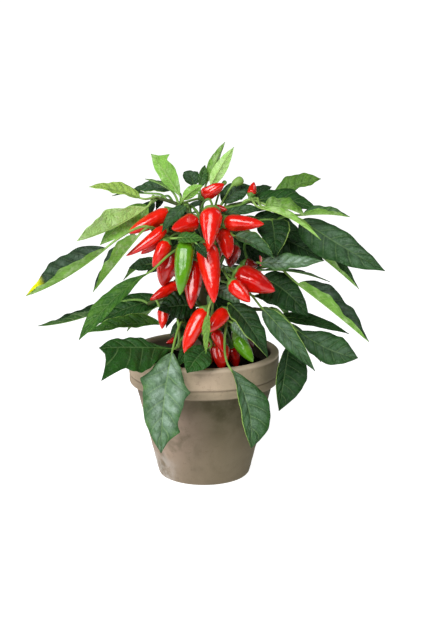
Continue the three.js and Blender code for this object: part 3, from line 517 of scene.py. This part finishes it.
def blade_shape(item, t, s):
    """Across, up and forward moves of a blade's points from its midrib, by t and s."""
    size = np.abs(s)
    side = np.sign(s)
    order = item.order
    ragged = 1 + 0.015 * np.sin(23 * t + order * 3 + side * 2) + 0.01 * np.sin(47 * t + order + side)
    lopsided = np.where(side < 0, item.sides[0], item.sides[1])
    wide = np.maximum(half_width(item, t) * ragged * lopsided, 0.35)
    forward = np.zeros_like(wide)
    out = np.zeros_like(wide)
    for share, tooth_side, outward, ahead in item.teeth:
        peak = np.clip(1 - np.abs(t - share) / 0.1, 0, 1) ** 1.4 * (side == tooth_side) * size**2
        out += peak * outward
        forward += peak * ahead
    angle = np.radians(item.fold) * (1 - 0.15 * t)
    phase = 15 * t + order * 2.4 + side
    swell = np.sin(np.pi * t)
    wave = 0.028 * item.width * swell * np.sin(phase)
    ruffle = 0.01 * item.width * swell * np.sin(38 * t + order + 2 * side) * size**3
    bulge = 0.3 * wide * size * (1 - size) * np.cos(angle)
    vein = (t - 0.17 * size**1.15) * item.veins + 0.5 * (side > 0)
    quilt = 0.036 * item.width * np.abs(np.sin(np.pi * vein)) * size * (1 - size) * 2 * swell
    crease = np.sqrt(size**2 + 0.0009) - 0.03
    across = side * (size * wide * np.cos(angle) + out)
    up = crease * wide * np.sin(angle) + size * wave + ruffle + bulge + quilt
    return across, up, forward


def side_by_side(shape, *values):
    """One row of all the values for every point."""
    return np.stack([np.broadcast_to(value, shape) for value in values], axis=-1).reshape(-1, len(values))


def blade_faces(rows, wide):
    """The faces of a blade's upper side, and those of its underside and around its edge."""
    low = (rows + 1) * wide
    cells = [(i * wide + j, (i + 1) * wide + j) for i in range(rows) for j in range(wide - 1)]
    upper = [(a, b, b + 1, a + 1) for a, b in cells]
    under = [(low + a, low + a + 1, low + b + 1, low + b) for a, b in cells]
    border = [*range(0, low - wide, wide), *range(low - wide, low - 1)]
    border += [*range(low - 1, wide - 1, -wide), *range(wide - 1, 0, -1)]
    edge = [(a, low + a, low + b, b) for a, b in zip(border, border[1:] + border[:1])]
    return upper, under + edge


def blade(shape, item):
    small = item.far or item.width < 30
    rows, columns = (26, 8) if small else (40, 11)
    t_line = np.linspace(0, 1, rows + 1)
    half = np.append(np.linspace(0, 0.96, columns), 1)
    s_line = np.concatenate([-half[:0:-1], half])
    t, s = np.meshgrid(t_line, s_line, indexing="ij")
    rib, along, normal = blade_frames(item, t_line)
    side = np.cross(normal, along)
    across, up, forward = blade_shape(item, t, s)
    middle = rib[:, None] + side[:, None] * across[..., None] + normal[:, None] * up[..., None]
    middle = middle + along[:, None] * forward[..., None]
    out = unit(np.cross(np.gradient(middle, axis=0), np.gradient(middle, axis=1)))
    out *= np.where((out * normal[:, None]).sum(-1) < 0, -1, 1)[..., None]
    half_thick = (0.3 * (1 - 0.5 * np.abs(s) ** 4))[..., None]
    points = np.stack([middle + out * half_thick, middle - out * half_thick])
    upper, under = blade_faces(rows, len(s_line))
    slots = [UPPER] * len(upper) + [UNDER] * len(under)
    upper_tone, under_tone, painted_sheen = LOOKS[item.look]
    tones = np.reshape([upper_tone, under_tone], (2, 1, 1))
    place = side_by_side(points.shape[:-1], t, s, item.veins, 0)
    tint = side_by_side(points.shape[:-1], tones, painted_sheen, item.edge, item.gold)
    shape.add(points.reshape(-1, 3), upper + under, slots, tint, place)


def leaf_body(shape, item, shoot):
    blade(shape, item)
    line = petiole_line(item, shoot)
    t = np.linspace(0.04, 0.94, 16)
    rib, along, normal = blade_frames(item, t)
    share = np.linspace(0, 1, len(line))
    radii = np.concatenate([STALK_RADIUS * (1.2 - 0.3 * share), 0.85 - 0.65 * t])
    _, under, _ = LOOKS[item.look]
    line = np.vstack([line, rib - normal * 0.28])
    tube(shape, line, radii, 8, STALK, 0.5 + 0.45 * under, guide=item.face)


# A fruit with its calyx and pedicel
def fruit_line(item, t):
    bent = (item.neck + item.tip) / 2 + (item.bend, 0, 0)
    return quadratic(item.neck, bent, item.tip, t)


def fruit_radius(item, t):
    shoulder = 0.2
    widest = item.width / 2
    near_neck = widest * (1 - 0.42 * np.clip(1 - t / shoulder, 0, 1) ** 2)
    body = np.clip((t - shoulder) / (1 - shoulder), 0, 1)
    return np.where(t < shoulder, near_neck, widest * (1 - body ** item.taper) ** 0.7)


def fruit_body(shape, item, seed):
    rows, sides = 46, 40
    t = 0.5 - 0.5 * np.cos(np.linspace(0.16, math.pi, rows))
    t = (t - t[0]) / (t[-1] - t[0])
    turn = turns(sides)
    share, angle = np.meshgrid(t, turn, indexing="ij")
    radius = np.maximum(fruit_radius(item, share), 0.35 * (share < 1))
    swirl = angle + 0.5 * share * math.sin(seed)
    lobes = 0.05 * np.cos(3 * swirl + seed) * (1 - share)
    folds = np.cos(5 * swirl + 2.3 * seed + 2 * np.sin(3 * share + seed))
    dents = np.sin(9 * share + seed) * np.cos(2 * angle + seed * 1.7)
    creases = -np.exp(-((np.sin(swirl * 1.5 + seed + share) / 0.22) ** 2))
    body = np.sin(np.pi * np.clip(share * 1.1, 0, 1))
    radius = radius * (1 + lobes + item.wrinkle * body * (0.05 * folds + 0.05 * dents + 0.11 * creases))
    tube(shape, fruit_line(item, t), radius, sides, 0, item.shade, guide=(1, 0.2, 0.1))


def pedicel(shape, item, shoot, seed):
    """A fruit's stalk, whose first rows are the calyx with its five teeth."""
    away = -unit(fruit_line(item, [0.001, 0])[0] - item.neck)
    start = item.neck + away * GAP
    end = on_line(shoot, item.along)
    reach = np.linalg.norm(start - end)
    bends = (start, start + away * (5 + reach * 0.35), end + UP * reach * 0.3, end)
    length = length_of(cubic(*bends, np.linspace(0, 1, 60)))
    cap = item.width / 2 * 0.58
    at = [0, 0.5, 1.2, 2.2, 3.4, 5, 7.5]
    wide = [cap + 0.9, cap + 0.7, cap * 0.92 + 0.4, cap * 0.62 + 0.6, cap * 0.25 + 1, 1.25, STALK_RADIUS]
    shares = np.concatenate([np.array(at) / length, np.linspace(max(0.3, 9 / length), 1, 12)])
    radii = np.array(wide + [STALK_RADIUS] * 12)
    line = cubic(*bends, shares)
    sides = 20
    turn = turns(sides)
    teeth = 0.5 + 0.5 * np.cos(5 * turn + seed)
    lift = np.zeros((len(line), sides))
    drop = min(0.16 * item.width, 2.4)
    lift[0] = -drop * (0.3 + 0.7 * teeth)
    lift[1] = -0.5 * drop * teeth
    rim = np.repeat(radii[:, None], sides, axis=1)
    rim[0] += 0.11 * item.width * (0.4 + 0.6 * teeth)
    rim[1] += 0.06 * item.width
    rim[2:5] *= 1 + 0.05 * np.cos(5 * turn + seed)
    # Painted shade: a darker calyx for a fruit deep in shade
    tone = 0.45 if item.shade > 0.45 else 0.62
    tube(shape, line, rim, sides, STALK, tone, lift=lift)


def bud_body(shape, item, shoot):
    start = on_line(shoot, item.along)
    line = smooth_line([start, (start + item.neck) / 2 + UP * 3, item.neck, item.tip])
    knob = 1 - np.linalg.norm(item.neck - item.tip) / length_of(line)
    stalk = np.linspace(0, knob * 0.96, 12)
    head = knob + (1 - knob) * np.array([0, 0.12, 0.3, 0.5, 0.7, 0.85, 0.95, 1])
    full = item.radius * np.array([0.42, 0.72, 0.82, 0.95, 1, 0.86, 0.6, 0.25])
    radii = np.concatenate([np.linspace(STALK_RADIUS, 1.05, 12), full])
    tube(shape, on_line(line, np.concatenate([stalk, head])), radii, 14, STALK, 0.8)


# The stem and the shoots
STEM_LINE = smooth_line(
    [(0, 0, STEM.foot), (0, 0, 112), (3, 3, 145), (-2, 5, 185), (1, 3, 225), (-3, 1, 262)]
)


def stem_at(height):
    """The middle of the stem at a height."""
    points = on_line(STEM_LINE, np.arange(0, 1.001, 0.002))
    return points[np.abs(points[:, 2] - height).argmin()]


def placed(item, order):
    """An item with its places and its face in the shared frame, and its number on the shoot."""
    made = {**item, "order": order}
    for key in ("base", "via", "tip", "swing", "neck"):
        if isinstance(made.get(key), tuple):
            made[key] = seen(made[key])
    if isinstance(made.get("face"), tuple):
        made["face"] = turned(*made["face"])
    return SimpleNamespace(**made)


def shoot_line(height, path):
    """A shoot's line of straight stretches from joint to joint."""
    return on_line(smooth_line([stem_at(height), *path]), SHOOT.joints)


def all_shoots():
    """Each shoot's name, its line, and its leaves, buds and fruits."""
    for name, ((height, *through), *items) in SHOOTS.items():
        yield name, shoot_line(height, [seen(place) for place in through]), items
    leaves = [back_leaf(k) for k in range(BACK.leaves)]
    fruits = [back_fruit(k) for k in range(BACK.fruits)]
    for name, ((low, high, height), *inner) in BACK_SHOOTS.items():
        middle = (max(low, BACK.start) + min(high, BACK.end)) / 2
        path = [around(middle, 24, height + 26), around(middle, 44, height + 52)]
        items = [item for item in leaves + inner + fruits if low <= item.get("angle", low) < high]
        yield name, shoot_line(height, path), items


def shoot_rod(shape, line):
    shares = np.linspace(0, 1, 33)
    swelling = 0.28 * np.exp(-(((shares * 4 - np.round(shares * 4)) / 0.16) ** 2))
    radii = SHOOT.start_radius + (SHOOT.end_radius - SHOOT.start_radius) * shares + swelling
    tube(shape, on_line(line, shares), radii, 10, BARK, 0.5)


def stem_body(shape):
    shares = np.linspace(0, 1, 90)
    radii = STEM.foot_radius + (STEM.top_radius - STEM.foot_radius) * shares**0.8
    sides = 24
    turn = turns(sides)[None]
    down = shares[:, None]
    ridges = 0.25 * np.sin(7 * turn + 9 * down) + 0.2 * np.sin(3 * turn - 30 * down)
    tube(shape, on_line(STEM_LINE, shares), radii[:, None] + ridges, sides, 0, 0.2)


# The pot and the soil
def pot_wall(height):
    top = POT.rim_radius - POT.rim_step
    return POT.foot_radius + (top - POT.foot_radius) * height / (POT.height - POT.rim_height)


def pot_inside(height):
    low = pot_wall(POT.floor) - POT.wall
    high = POT.rim_radius - POT.wall - 0.6
    return low + (high - low) * (height - POT.floor) / (POT.height - POT.floor)


def pot_profile():
    """Radius, height and how far inside, from the drain hole out, up the wall and back in."""
    top, rim, lip, floor = POT.height, POT.rim_radius, POT.lip, POT.floor
    foot, drain = POT.foot_radius, POT.drain_radius
    under = top - POT.rim_height
    groove = top - POT.groove_below_top
    outer = [(drain, 0.4), (drain + 1, 0), (foot - 2, 0), (foot - 0.7, 0.4), (foot + 0.2, 1.7)]
    outer += [(pot_wall(z), z) for z in np.linspace(4, under - 2, 22)]
    outer += [(pot_wall(under) + 0.4, under - 0.5), (pot_wall(under) + 1.6, under), (rim - 2, under)]
    outer += [(rim - 0.9, under + 0.4), (rim - 0.4, under + 1.6), (rim - 0.3, under + 4)]
    outer += [(rim - 0.3, groove - 1.3), (rim - 0.5, groove - 0.7)]
    outer += [(rim - 0.3 - POT.groove_depth, groove), (rim - 0.4, groove + 0.7)]
    outer += [(rim, z) for z in np.linspace(groove + 1.4, top - 5, 8)]
    outer += [(rim - 0.45, top - 3.6), (rim - 0.05, top - 3)]
    quarter = 1.57
    for a in np.linspace(0.1, quarter, 6):
        outer.append((rim - lip + lip * math.cos(a), top - lip + lip * math.sin(a)))
    rows = [(radius, z, 0) for radius, z in outer]
    edge = pot_inside(top) + lip
    for a in np.linspace(0, quarter, 6):
        rows.append((edge - lip * math.sin(a), top - lip + lip * math.cos(a), a / quarter))
    rows += [(pot_inside(z), z, 1) for z in np.linspace(top - 6, floor + 3, 12)]
    return rows + [(pot_inside(floor) - 4, floor, 1), (drain, floor, 1)]


def pot_uneven(radius, height, turn):
    outer = radius > 40
    thrown = 0.12 * np.sin(height * 0.9 + 2 * np.sin(turn)) + 0.22 * np.sin(3 * turn + height * 0.03)
    return radius + thrown * outer, height


def soil_profile():
    hole, floor = STEM.foot_radius + 0.1, POT.floor
    rows = [(hole, STEM.foot - GAP)]
    rows += [(radius, SOIL.top + 1.2) for radius in np.linspace(hole, SOIL.radius, 46)]
    rows += [(pot_inside(z) - 0.5, z) for z in (SOIL.top - 2, 90, 70, 50, 30, floor + 3)]
    rows += [(40, floor + 0.4), (hole, floor + 0.4)]
    return rows[::-1]


def soil_wave(x):
    return 0.9 * math.sin(x * 0.31 + 1)


def soil_uneven(radius, height, turn):
    rough = np.zeros_like(radius)
    for i in range(radius.shape[0]):
        if height[i, 0] < SOIL.top + 1:
            continue
        for k in range(radius.shape[1]):
            x, y = radius[i, k] * math.cos(turn[0, k]), radius[i, k] * math.sin(turn[0, k])
            rough[i, k] = 2.2 * noise.fractal(Vector((x, y, 0)) / 9, 0.7, 2.1, 4) + soil_wave(x)
    return radius, height + rough


def clods(shape, chance):
    """Small lumps of earth and bark lying on the soil."""
    for _ in range(SOIL.clods):
        angle, radius = chance.uniform(0, math.tau), SOIL.clod_reach * math.sqrt(chance.uniform(0.04, 0.96))
        size = chance.uniform(0.8, 2.6)
        x, y = radius * math.cos(angle), radius * math.sin(angle)
        turn = chance.uniform(0, math.tau)
        lean = np.array([math.cos(turn), math.sin(turn), chance.uniform(-0.4, 0.4)])
        lean = lean * size * chance.uniform(0.8, 1.9)
        middle = np.array([x, y, SOIL.top + 1.6 + size * 0.3 + soil_wave(x)])
        line = middle + lean * np.linspace(-1, 1, 5)[:, None]
        radii = size * np.array([0.35, 0.8, 1, 0.75, 0.3])[:, None]
        bumps = 1 + 0.25 * np.array([[chance.uniform(-1, 1) for _ in range(7)] for _ in range(5)])
        tube(shape, line, radii * bumps, 7, 0, chance.uniform(0, 1), guide=(0.2, 0.1, 1))


# Materials
def colour(*screen):
    """A colour by its usual screen values of red, green and blue."""
    linear = [((c / 255 + 0.055) / 1.055) ** 2.4 if c > 10 else c / 255 / 12.92 for c in screen]
    return (*linear, 1)


class Paint:
    """A node material in the making: a base colour with more colours laid over it."""

    def __init__(self, name, specular, **sockets):
        self.made = bpy.data.materials.new(name)
        self.made.use_nodes = True
        self.nodes = self.made.node_tree.nodes
        self.links = self.made.node_tree.links
        self.surface = self.nodes["Principled BSDF"]
        self.surface.inputs["Specular IOR Level"].default_value = specular
        for socket, value in sockets.items():
            self.surface.inputs[socket.replace("_", " ")].default_value = value
        self.where = self.node("ShaderNodeTexCoord", {}).outputs["Object"]

    def node(self, kind, inputs, **settings):
        """A new node whose inputs are numbers, colours or the outputs of other nodes."""
        made = self.nodes.new(kind)
        for name, value in settings.items():
            setattr(made, name, value)
        for socket, value in inputs.items():
            if isinstance(value, bpy.types.NodeSocket):
                self.links.new(value, made.inputs[socket])
            else:
                made.inputs[socket].default_value = value
        return made

    def math(self, operation, a, b=0, clamp=False):
        return self.node("ShaderNodeMath", {0: a, 1: b}, operation=operation, use_clamp=clamp).outputs[0]

    def times(self, value, *factors):
        for factor in factors:
            value = self.math("MULTIPLY", value, factor)
        return value

    def plus(self, a, b, clamp=False):
        return self.math("ADD", a, b, clamp)

    def minus(self, a, b):
        return self.math("SUBTRACT", a, b)

    def swing(self, value, amount):
        """A value from 0 to 1 as one that swings around zero."""
        return self.times(self.minus(value, 0.5), amount)

    def apart(self, value, middle):
        return self.math("ABSOLUTE", self.minus(value, middle))

    def ramp(self, value, low, high, to_low=0, to_high=1):
        """A smooth way from one number at low to another at high."""
        inputs = {"Value": value, "From Min": low, "From Max": high, "To Min": to_low, "To Max": to_high}
        return self.node("ShaderNodeMapRange", inputs, interpolation_type="SMOOTHSTEP").outputs[0]

    def noise(self, scale, detail=3, rough=0.55, distortion=0, where=None):
        inputs = {"Scale": scale, "Detail": detail, "Roughness": rough, "Distortion": distortion}
        inputs["Vector"] = where or self.where
        return self.node("ShaderNodeTexNoise", inputs).outputs[0]

    def position(self):
        """Right, back and up, in metres."""
        return self.node("ShaderNodeSeparateXYZ", {0: self.where}).outputs[:]

    def attribute(self, name):
        """The four numbers of an attribute."""
        made = self.node("ShaderNodeAttribute", {}, attribute_name=name)
        split = self.node("ShaderNodeSeparateColor", {0: made.outputs["Color"]})
        return [*split.outputs[:3], made.outputs["Alpha"]]

    def base(self, share, tones):
        """A base colour that runs through tones of (share, red, green, blue)."""
        made = self.node("ShaderNodeValToRGB", {0: share})
        elements = made.color_ramp.elements
        while len(elements) < len(tones):
            elements.new(0.5)
        for element, (position, *screen) in zip(elements, tones):
            element.position = position
            element.color = colour(*screen)
        self.shade = made.outputs[0]

    def mix(self, share, a, b):
        return self.node("ShaderNodeMix", {0: share, 6: a, 7: b}, data_type="RGBA").outputs[2]

    def lay(self, screen, *shares):
        """Lays a colour over the ones before, as much as the product of the shares says."""
        self.shade = self.mix(self.times(*shares), self.shade, colour(*screen))

    def drive(self, socket, value):
        self.links.new(value, self.surface.inputs[socket])

    def bump(self, height, distance, strength):
        made = self.node("ShaderNodeBump", {"Strength": strength, "Distance": distance, "Height": height})
        self.drive("Normal", made.outputs[0])

    def finish(self, uneven, low, high):
        """Shows the colours, with a roughness that follows a noise."""
        self.drive("Base Color", self.shade)
        self.drive("Roughness", self.ramp(uneven, 0.3, 0.7, low, high))
        return self.made


def leaf_paint(name, tones, upper):
    paint = Paint(name, 0.17 if upper else 0.13)
    along, across, veins, _ = paint.attribute("place")
    tone, painted_sheen, edge, gold = paint.attribute("tint")
    broad = paint.noise(70)
    fine = paint.noise(420, 4, 0.6)
    size = paint.math("ABSOLUTE", across)
    offset = paint.times(paint.math("GREATER_THAN", across), 0.5)
    bent = paint.times(paint.math("POWER", size, 1.15), 0.17)
    phase = paint.plus(paint.times(paint.minus(along, bent), veins), offset)
    beat = paint.math("PINGPONG", phase, 0.5)
    lateral = paint.times(paint.ramp(beat, 0, 0.085, 1, 0), paint.ramp(size, 0.55, 1, 1, 0.1))
    rib = paint.ramp(size, 0.015, 0.07, 1, 0)
    vein = paint.math("MAXIMUM", lateral, rib)
    between = paint.ramp(beat, 0.05, 0.4)
    mottled = paint.plus(tone, paint.swing(broad, 0.34))
    # Random specks, and painted shade: the colour darkens in a band next to each vein, where the blade dips
    speckle_and_vein_shade = paint.plus(paint.swing(fine, 0.16), paint.swing(between, 0.06))
    paint.base(paint.plus(mottled, speckle_and_vein_shade, clamp=True), tones)
    if upper:
        # Painted sheen: a whitish-grey reflection laid into the upper side's colour, weaker towards the
        # edges and the tip, stronger between the veins
        painted_sheen_share = paint.times(
            painted_sheen,
            paint.ramp(paint.noise(110, 4, 0.6), 0.35, 0.65, 0.45, 1.1),
            paint.ramp(size, 0.5, 1, 1, 0.2),
            paint.ramp(along, 0.55, 1, 1, 0.5),
            paint.ramp(between, 0, 1, 0.7, 1.1),
        )
        paint.lay((150, 174, 156), painted_sheen_share, 0.8)
        veined = paint.plus(paint.times(tone, 0.5), 0.04)
        paint.lay((154, 188, 120), vein, veined)
    else:
        paint.lay((178, 206, 122), vein, 0.35)
        # Painted sheen: whitish mottles laid over the underside, more on lighter leaves
        pale = paint.ramp(paint.noise(105, 5, 0.66, distortion=0.6), 0.46, 0.68, 0, 0.5)
        paint.lay((204, 224, 176), pale, tone)
    # Painted highlight: a lighter band along the blade's edge on the side that edge gives
    on_side = paint.math("GREATER_THAN", paint.times(across, edge))
    edge_highlight = paint.times(paint.ramp(size, 0.91, 0.97), on_side)
    paint.lay((158, 190, 96), edge_highlight, 0.8)
    gold_side = paint.math("GREATER_THAN", paint.times(across, gold), 0.08)
    paint.lay((226, 232, 10), paint.ramp(along, 0.72, 0.84), gold_side)
    ridged = paint.apart(paint.noise(130, distortion=0.8), 0.5)
    creases = paint.ramp(ridged, 0, 0.12, 0.45, 0)
    relief = paint.plus(paint.times(fine, 0.5), paint.times(broad, 1.8))
    relief = paint.plus(paint.minus(relief, creases), paint.times(between, 0.4))
    relief = paint.minus(relief, paint.times(vein, 0.3 if upper else -0.15))
    paint.bump(relief, 0.0013, 0.9 if upper else 0.68)
    rough = 0.3 if upper else 0.45
    return paint.finish(broad, rough, rough + 0.14)


def stalk_paint():
    paint = Paint("stalk_green", 0.4)
    streak = paint.noise(160)
    varied = paint.plus(paint.attribute("tint")[0], paint.swing(streak, 0.4), clamp=True)
    paint.base(varied, [(0, 20, 44, 16), (0.5, 74, 116, 44), (0.8, 124, 164, 74), (1, 164, 196, 110)])
    paint.bump(paint.noise(700, 2), 0.0003, 0.4)
    return paint.finish(streak, 0.38, 0.52)


def bark_paint():
    paint = Paint("young_bark", 0.3)
    stretched = paint.node("ShaderNodeMapping", {"Scale": (3, 3, 0.6), "Vector": paint.where})
    streak = paint.noise(90, 5, 0.6, where=stretched.outputs[0])
    tone = paint.times(paint.attribute("tint")[0], 0.8)
    varied = paint.plus(tone, paint.times(streak, 0.4), clamp=True)
    # The bark's own brown and green, kept darker as painted shade for the stem deep in the foliage
    paint.base(varied, [(0, 48, 40, 26), (0.4, 70, 66, 38), (0.7, 62, 84, 34), (1, 92, 122, 52)])
    paint.bump(streak, 0.0009, 0.6)
    return paint.finish(streak, 0.6, 0.8)


def skin_paint(name, tones, patch, coat):
    paint = Paint(name, 0.3, Coat_Weight=coat, Coat_Roughness=0.1)
    broad = paint.noise(75, 2)
    fine = paint.noise(900, 2)
    paint.base(paint.plus(paint.attribute("tint")[0], paint.swing(broad, 0.5), clamp=True), tones)
    paint.lay(patch, paint.ramp(paint.noise(46, 2), 0.56, 0.78), 0.5)
    paint.bump(paint.plus(paint.noise(85, 2), paint.times(fine, 0.02)), 0.003, 0.8)
    return paint.finish(broad, 0.2, 0.3)


def clay_paint():
    """Heights and distances in metres, as the position gives them."""
    paint = Paint("weathered_clay", 0.25)
    inside = paint.attribute("place")[0]
    across, _, height = paint.position()
    top = POT.height / 1000
    rim_foot = top - POT.rim_height / 1000
    groove = top - POT.groove_below_top / 1000
    blotch = paint.noise(22, 4, 0.6, distortion=0.8)
    cloud = paint.noise(60, 5, 0.62)
    grain = paint.noise(900, 3, 0.7)
    tones = [(0.25, 118, 108, 88), (0.45, 146, 133, 110), (0.6, 164, 148, 124), (0.8, 182, 165, 141)]
    paint.base(paint.plus(paint.times(blotch, 0.55), paint.times(cloud, 0.45)), tones)
    wall = paint.ramp(height, rim_foot - 0.003, rim_foot + 0.002, 1, 0)
    band = paint.minus(1, wall)
    # The wall is laid dark olive: its own tone low down, and painted shade from the rim and the leaves,
    # growing towards the top
    tone_and_rim_shade = paint.ramp(height, 0.02, 0.09, 0.6, 1)
    paint.lay((53, 50, 29), wall, tone_and_rim_shade, paint.ramp(cloud, 0.25, 0.7, 0.85, 1))
    rose = paint.times(
        paint.ramp(across, -0.05, 0.02, 1, 0),
        paint.ramp(blotch, 0.3, 0.5, 0.35, 1),
        paint.ramp(height, 0, 0.055, 0.3, 0.66),
        paint.ramp(height, 0.07, 0.092, 1, 0.35),
    )
    paint.lay((188, 163, 147), rose)
    paint.lay((76, 66, 56), inside, 0.8)
    # Painted light: the front of the rim's upper band is lighter, where the key light falls most
    centre = paint.ramp(paint.apart(across, 0.004), 0, 0.042, 1, 0)
    fresh = paint.times(centre, paint.ramp(height, 0.102, 0.11, 0.25, 1), band)
    paint.lay((204, 180, 158), fresh, 0.5)
    beside = paint.times(paint.ramp(across, 0.022, 0.072, 0, 0.76), wall)
    shadow = paint.math("MAXIMUM", paint.ramp(across, 0.036, 0.076, 0, 0.86), beside)
    paint.lay((62, 60, 36), shadow)
    # Painted shade on the right of the inner wall
    paint.lay((28, 23, 16), paint.ramp(across, 0, 0.05, 0, 0.85), inside)
    paint.lay((100, 90, 74), paint.ramp(height, 0.1, 0.108, 0.3, 0), band)
    freckles = paint.ramp(paint.noise(260, 4, 0.7), 0.54, 0.72, 0, 0.35)
    paint.lay((96, 84, 66), freckles)
    # Whitish low on the left side of the wall
    whitish_low_left = paint.times(
        paint.ramp(across, -0.05, -0.02, 1, 0),
        paint.ramp(height, 0, 0.04, 1, 0),
        paint.ramp(cloud, 0.35, 0.6),
    )
    paint.lay((214, 211, 208), whitish_low_left, 0.9)
    lip = paint.ramp(height, top - 0.0045, top - 0.0015)
    paint.lay((204, 186, 164), lip, 0.45)
    # Darker along the groove
    groove_line = paint.ramp(paint.apart(height, groove), 0.0004, 0.0016, 0.4, 0)
    paint.lay((84, 74, 58), groove_line)
    paint.bump(paint.plus(paint.times(grain, 0.4), cloud), 0.0009, 0.5)
    return paint.finish(cloud, 0.82, 0.95)


def soil_paint():
    paint = Paint("dark_soil", 0.08)
    crumbs = paint.noise(240, 6, 0.7)
    tone = paint.times(paint.attribute("tint")[0], 0.5)
    varied = paint.plus(tone, paint.times(crumbs, 0.6), clamp=True)
    paint.base(varied, [(0.2, 7, 6, 4), (0.5, 18, 14, 9), (0.8, 36, 28, 18), (1, 66, 52, 36)])
    paint.bump(crumbs, 0.0022, 0.9)
    return paint.finish(crumbs, 0.85, 1)


# Tones: how far along, and red, green and blue
UPPER_TONES = [
    (0, 6, 24, 5), (0.22, 18, 56, 12), (0.45, 40, 88, 24), (0.7, 92, 136, 42), (1, 158, 192, 86),
]
UNDER_TONES = [
    (0, 16, 40, 14), (0.34, 44, 84, 30), (0.6, 88, 134, 48), (0.85, 134, 186, 80), (1, 172, 214, 124),
]
RED_TONES = [(0, 238, 32, 4), (0.3, 206, 10, 3), (0.6, 138, 3, 3), (1, 66, 0, 3)]
GREEN_TONES = [(0, 98, 156, 22), (0.4, 62, 122, 16), (1, 28, 72, 10)]
leafy = [
    leaf_paint("leaf_upper", UPPER_TONES, True),
    leaf_paint("leaf_under", UNDER_TONES, False),
    stalk_paint(),
    bark_paint(),
]
red_skin = skin_paint("ripe_skin", RED_TONES, (240, 40, 10), 0.8)
green_skin = skin_paint("unripe_skin", GREEN_TONES, (132, 178, 52), 0.45)

# The pieces
pot = Shape()
lathe(pot, pot_profile(), POT.sides, 0, pot_uneven)
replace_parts(pot.build("clay_pot", [clay_paint()]), "pot")

soil = Shape()
lathe(soil, soil_profile(), SOIL.sides, 0.2, soil_uneven)
clods(soil, random.Random(7))
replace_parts(soil.build("potting_soil", [soil_paint()]), "soil")

stem = Shape()
stem_body(stem)
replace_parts(stem.build("woody_stem", [leafy[BARK]]), "stem")

count = 0
for name, line, items in all_shoots():
    shoot = Shape()
    shoot_rod(shoot, line)
    for order, item in enumerate(items):
        item = placed(item, order)
        if item.kind == "leaf":
            leaf_body(shoot, item, line)
        elif item.kind == "bud":
            bud_body(shoot, item, line)
        else:
            count += 1
            seed = count * 1.7
            pedicel(shoot, item, line, seed)
            body = Shape()
            fruit_body(body, item, seed)
            node = f"pepper_{count:02d}"
            skin, slot = (green_skin, "pepper_green") if item.green else (red_skin, "pepper_red")
            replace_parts(body.build(f"{node}_fruit", [skin]), node)
    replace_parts(shoot.build(f"leafy_{name}", leafy), f"shoot_{name}")


# The studio, in metres
def look(made, place, aim):
    made.location = place
    made.rotation_euler = (aim - Vector(place)).to_track_quat("-Z", "Y").to_euler()


def studio_light(name, place, size, power):
    data = bpy.data.lights.new(name, "AREA")
    data.shape = "RECTANGLE"
    data.size, data.size_y = size
    data.energy = power
    look(in_scene(name, data), place, Vector((0, 0, 0.17)))


studio_light("key_light", (-0.65, -1.3, 1.3), (1.15, 0.95), 36)
studio_light("left_light", (-1.5, 0.1, 0.55), (0.4, 1), 5)
studio_light("right_light", (1.2, 0.4, 1.3), (0.5, 0.9), 5)

WHITE = (1, 1, 1, 1)
world = bpy.data.worlds.new("pale_studio")
world.use_nodes = True
background = world.node_tree.nodes["Background"].inputs
background["Color"].default_value = WHITE
background["Strength"].default_value = 0.1
bpy.context.scene.world = world

floor_mesh = bpy.data.meshes.new("floor")
reach = 30
corners = [(-reach, -reach, 0), (reach, -reach, 0), (reach, reach, 0), (-reach, reach, 0)]
floor_mesh.from_pydata(corners, [], [(0, 1, 2, 3)])
floor_paint = Paint("white_floor", 0, Roughness=1, Emission_Color=WHITE)
glow = floor_paint.ramp(floor_paint.position()[1], 0.3, 2.2, 0.9, 1)
grey = floor_paint.mix(floor_paint.noise(8), (0.5, 0.5, 0.5, 1), (0.54, 0.54, 0.54, 1))
floor_paint.drive("Emission Strength", glow)
floor_paint.drive("Base Color", grey)
floor_mesh.materials.append(floor_paint.made)
floor = in_scene("floor", floor_mesh)

camera_data = bpy.data.cameras.new("camera")
camera_data.lens = VIEW.lens
camera = in_scene("camera", camera_data)
aim = Vector((VIEW.aim_right, 0, VIEW.aim_height)) / 1000
look(camera, aim + Vector((0, -PITCH_COS, PITCH_SIN)) * VIEW.distance / 1000, aim)
bpy.context.scene.camera = camera
bpy.context.scene.view_settings.view_transform = "Standard"
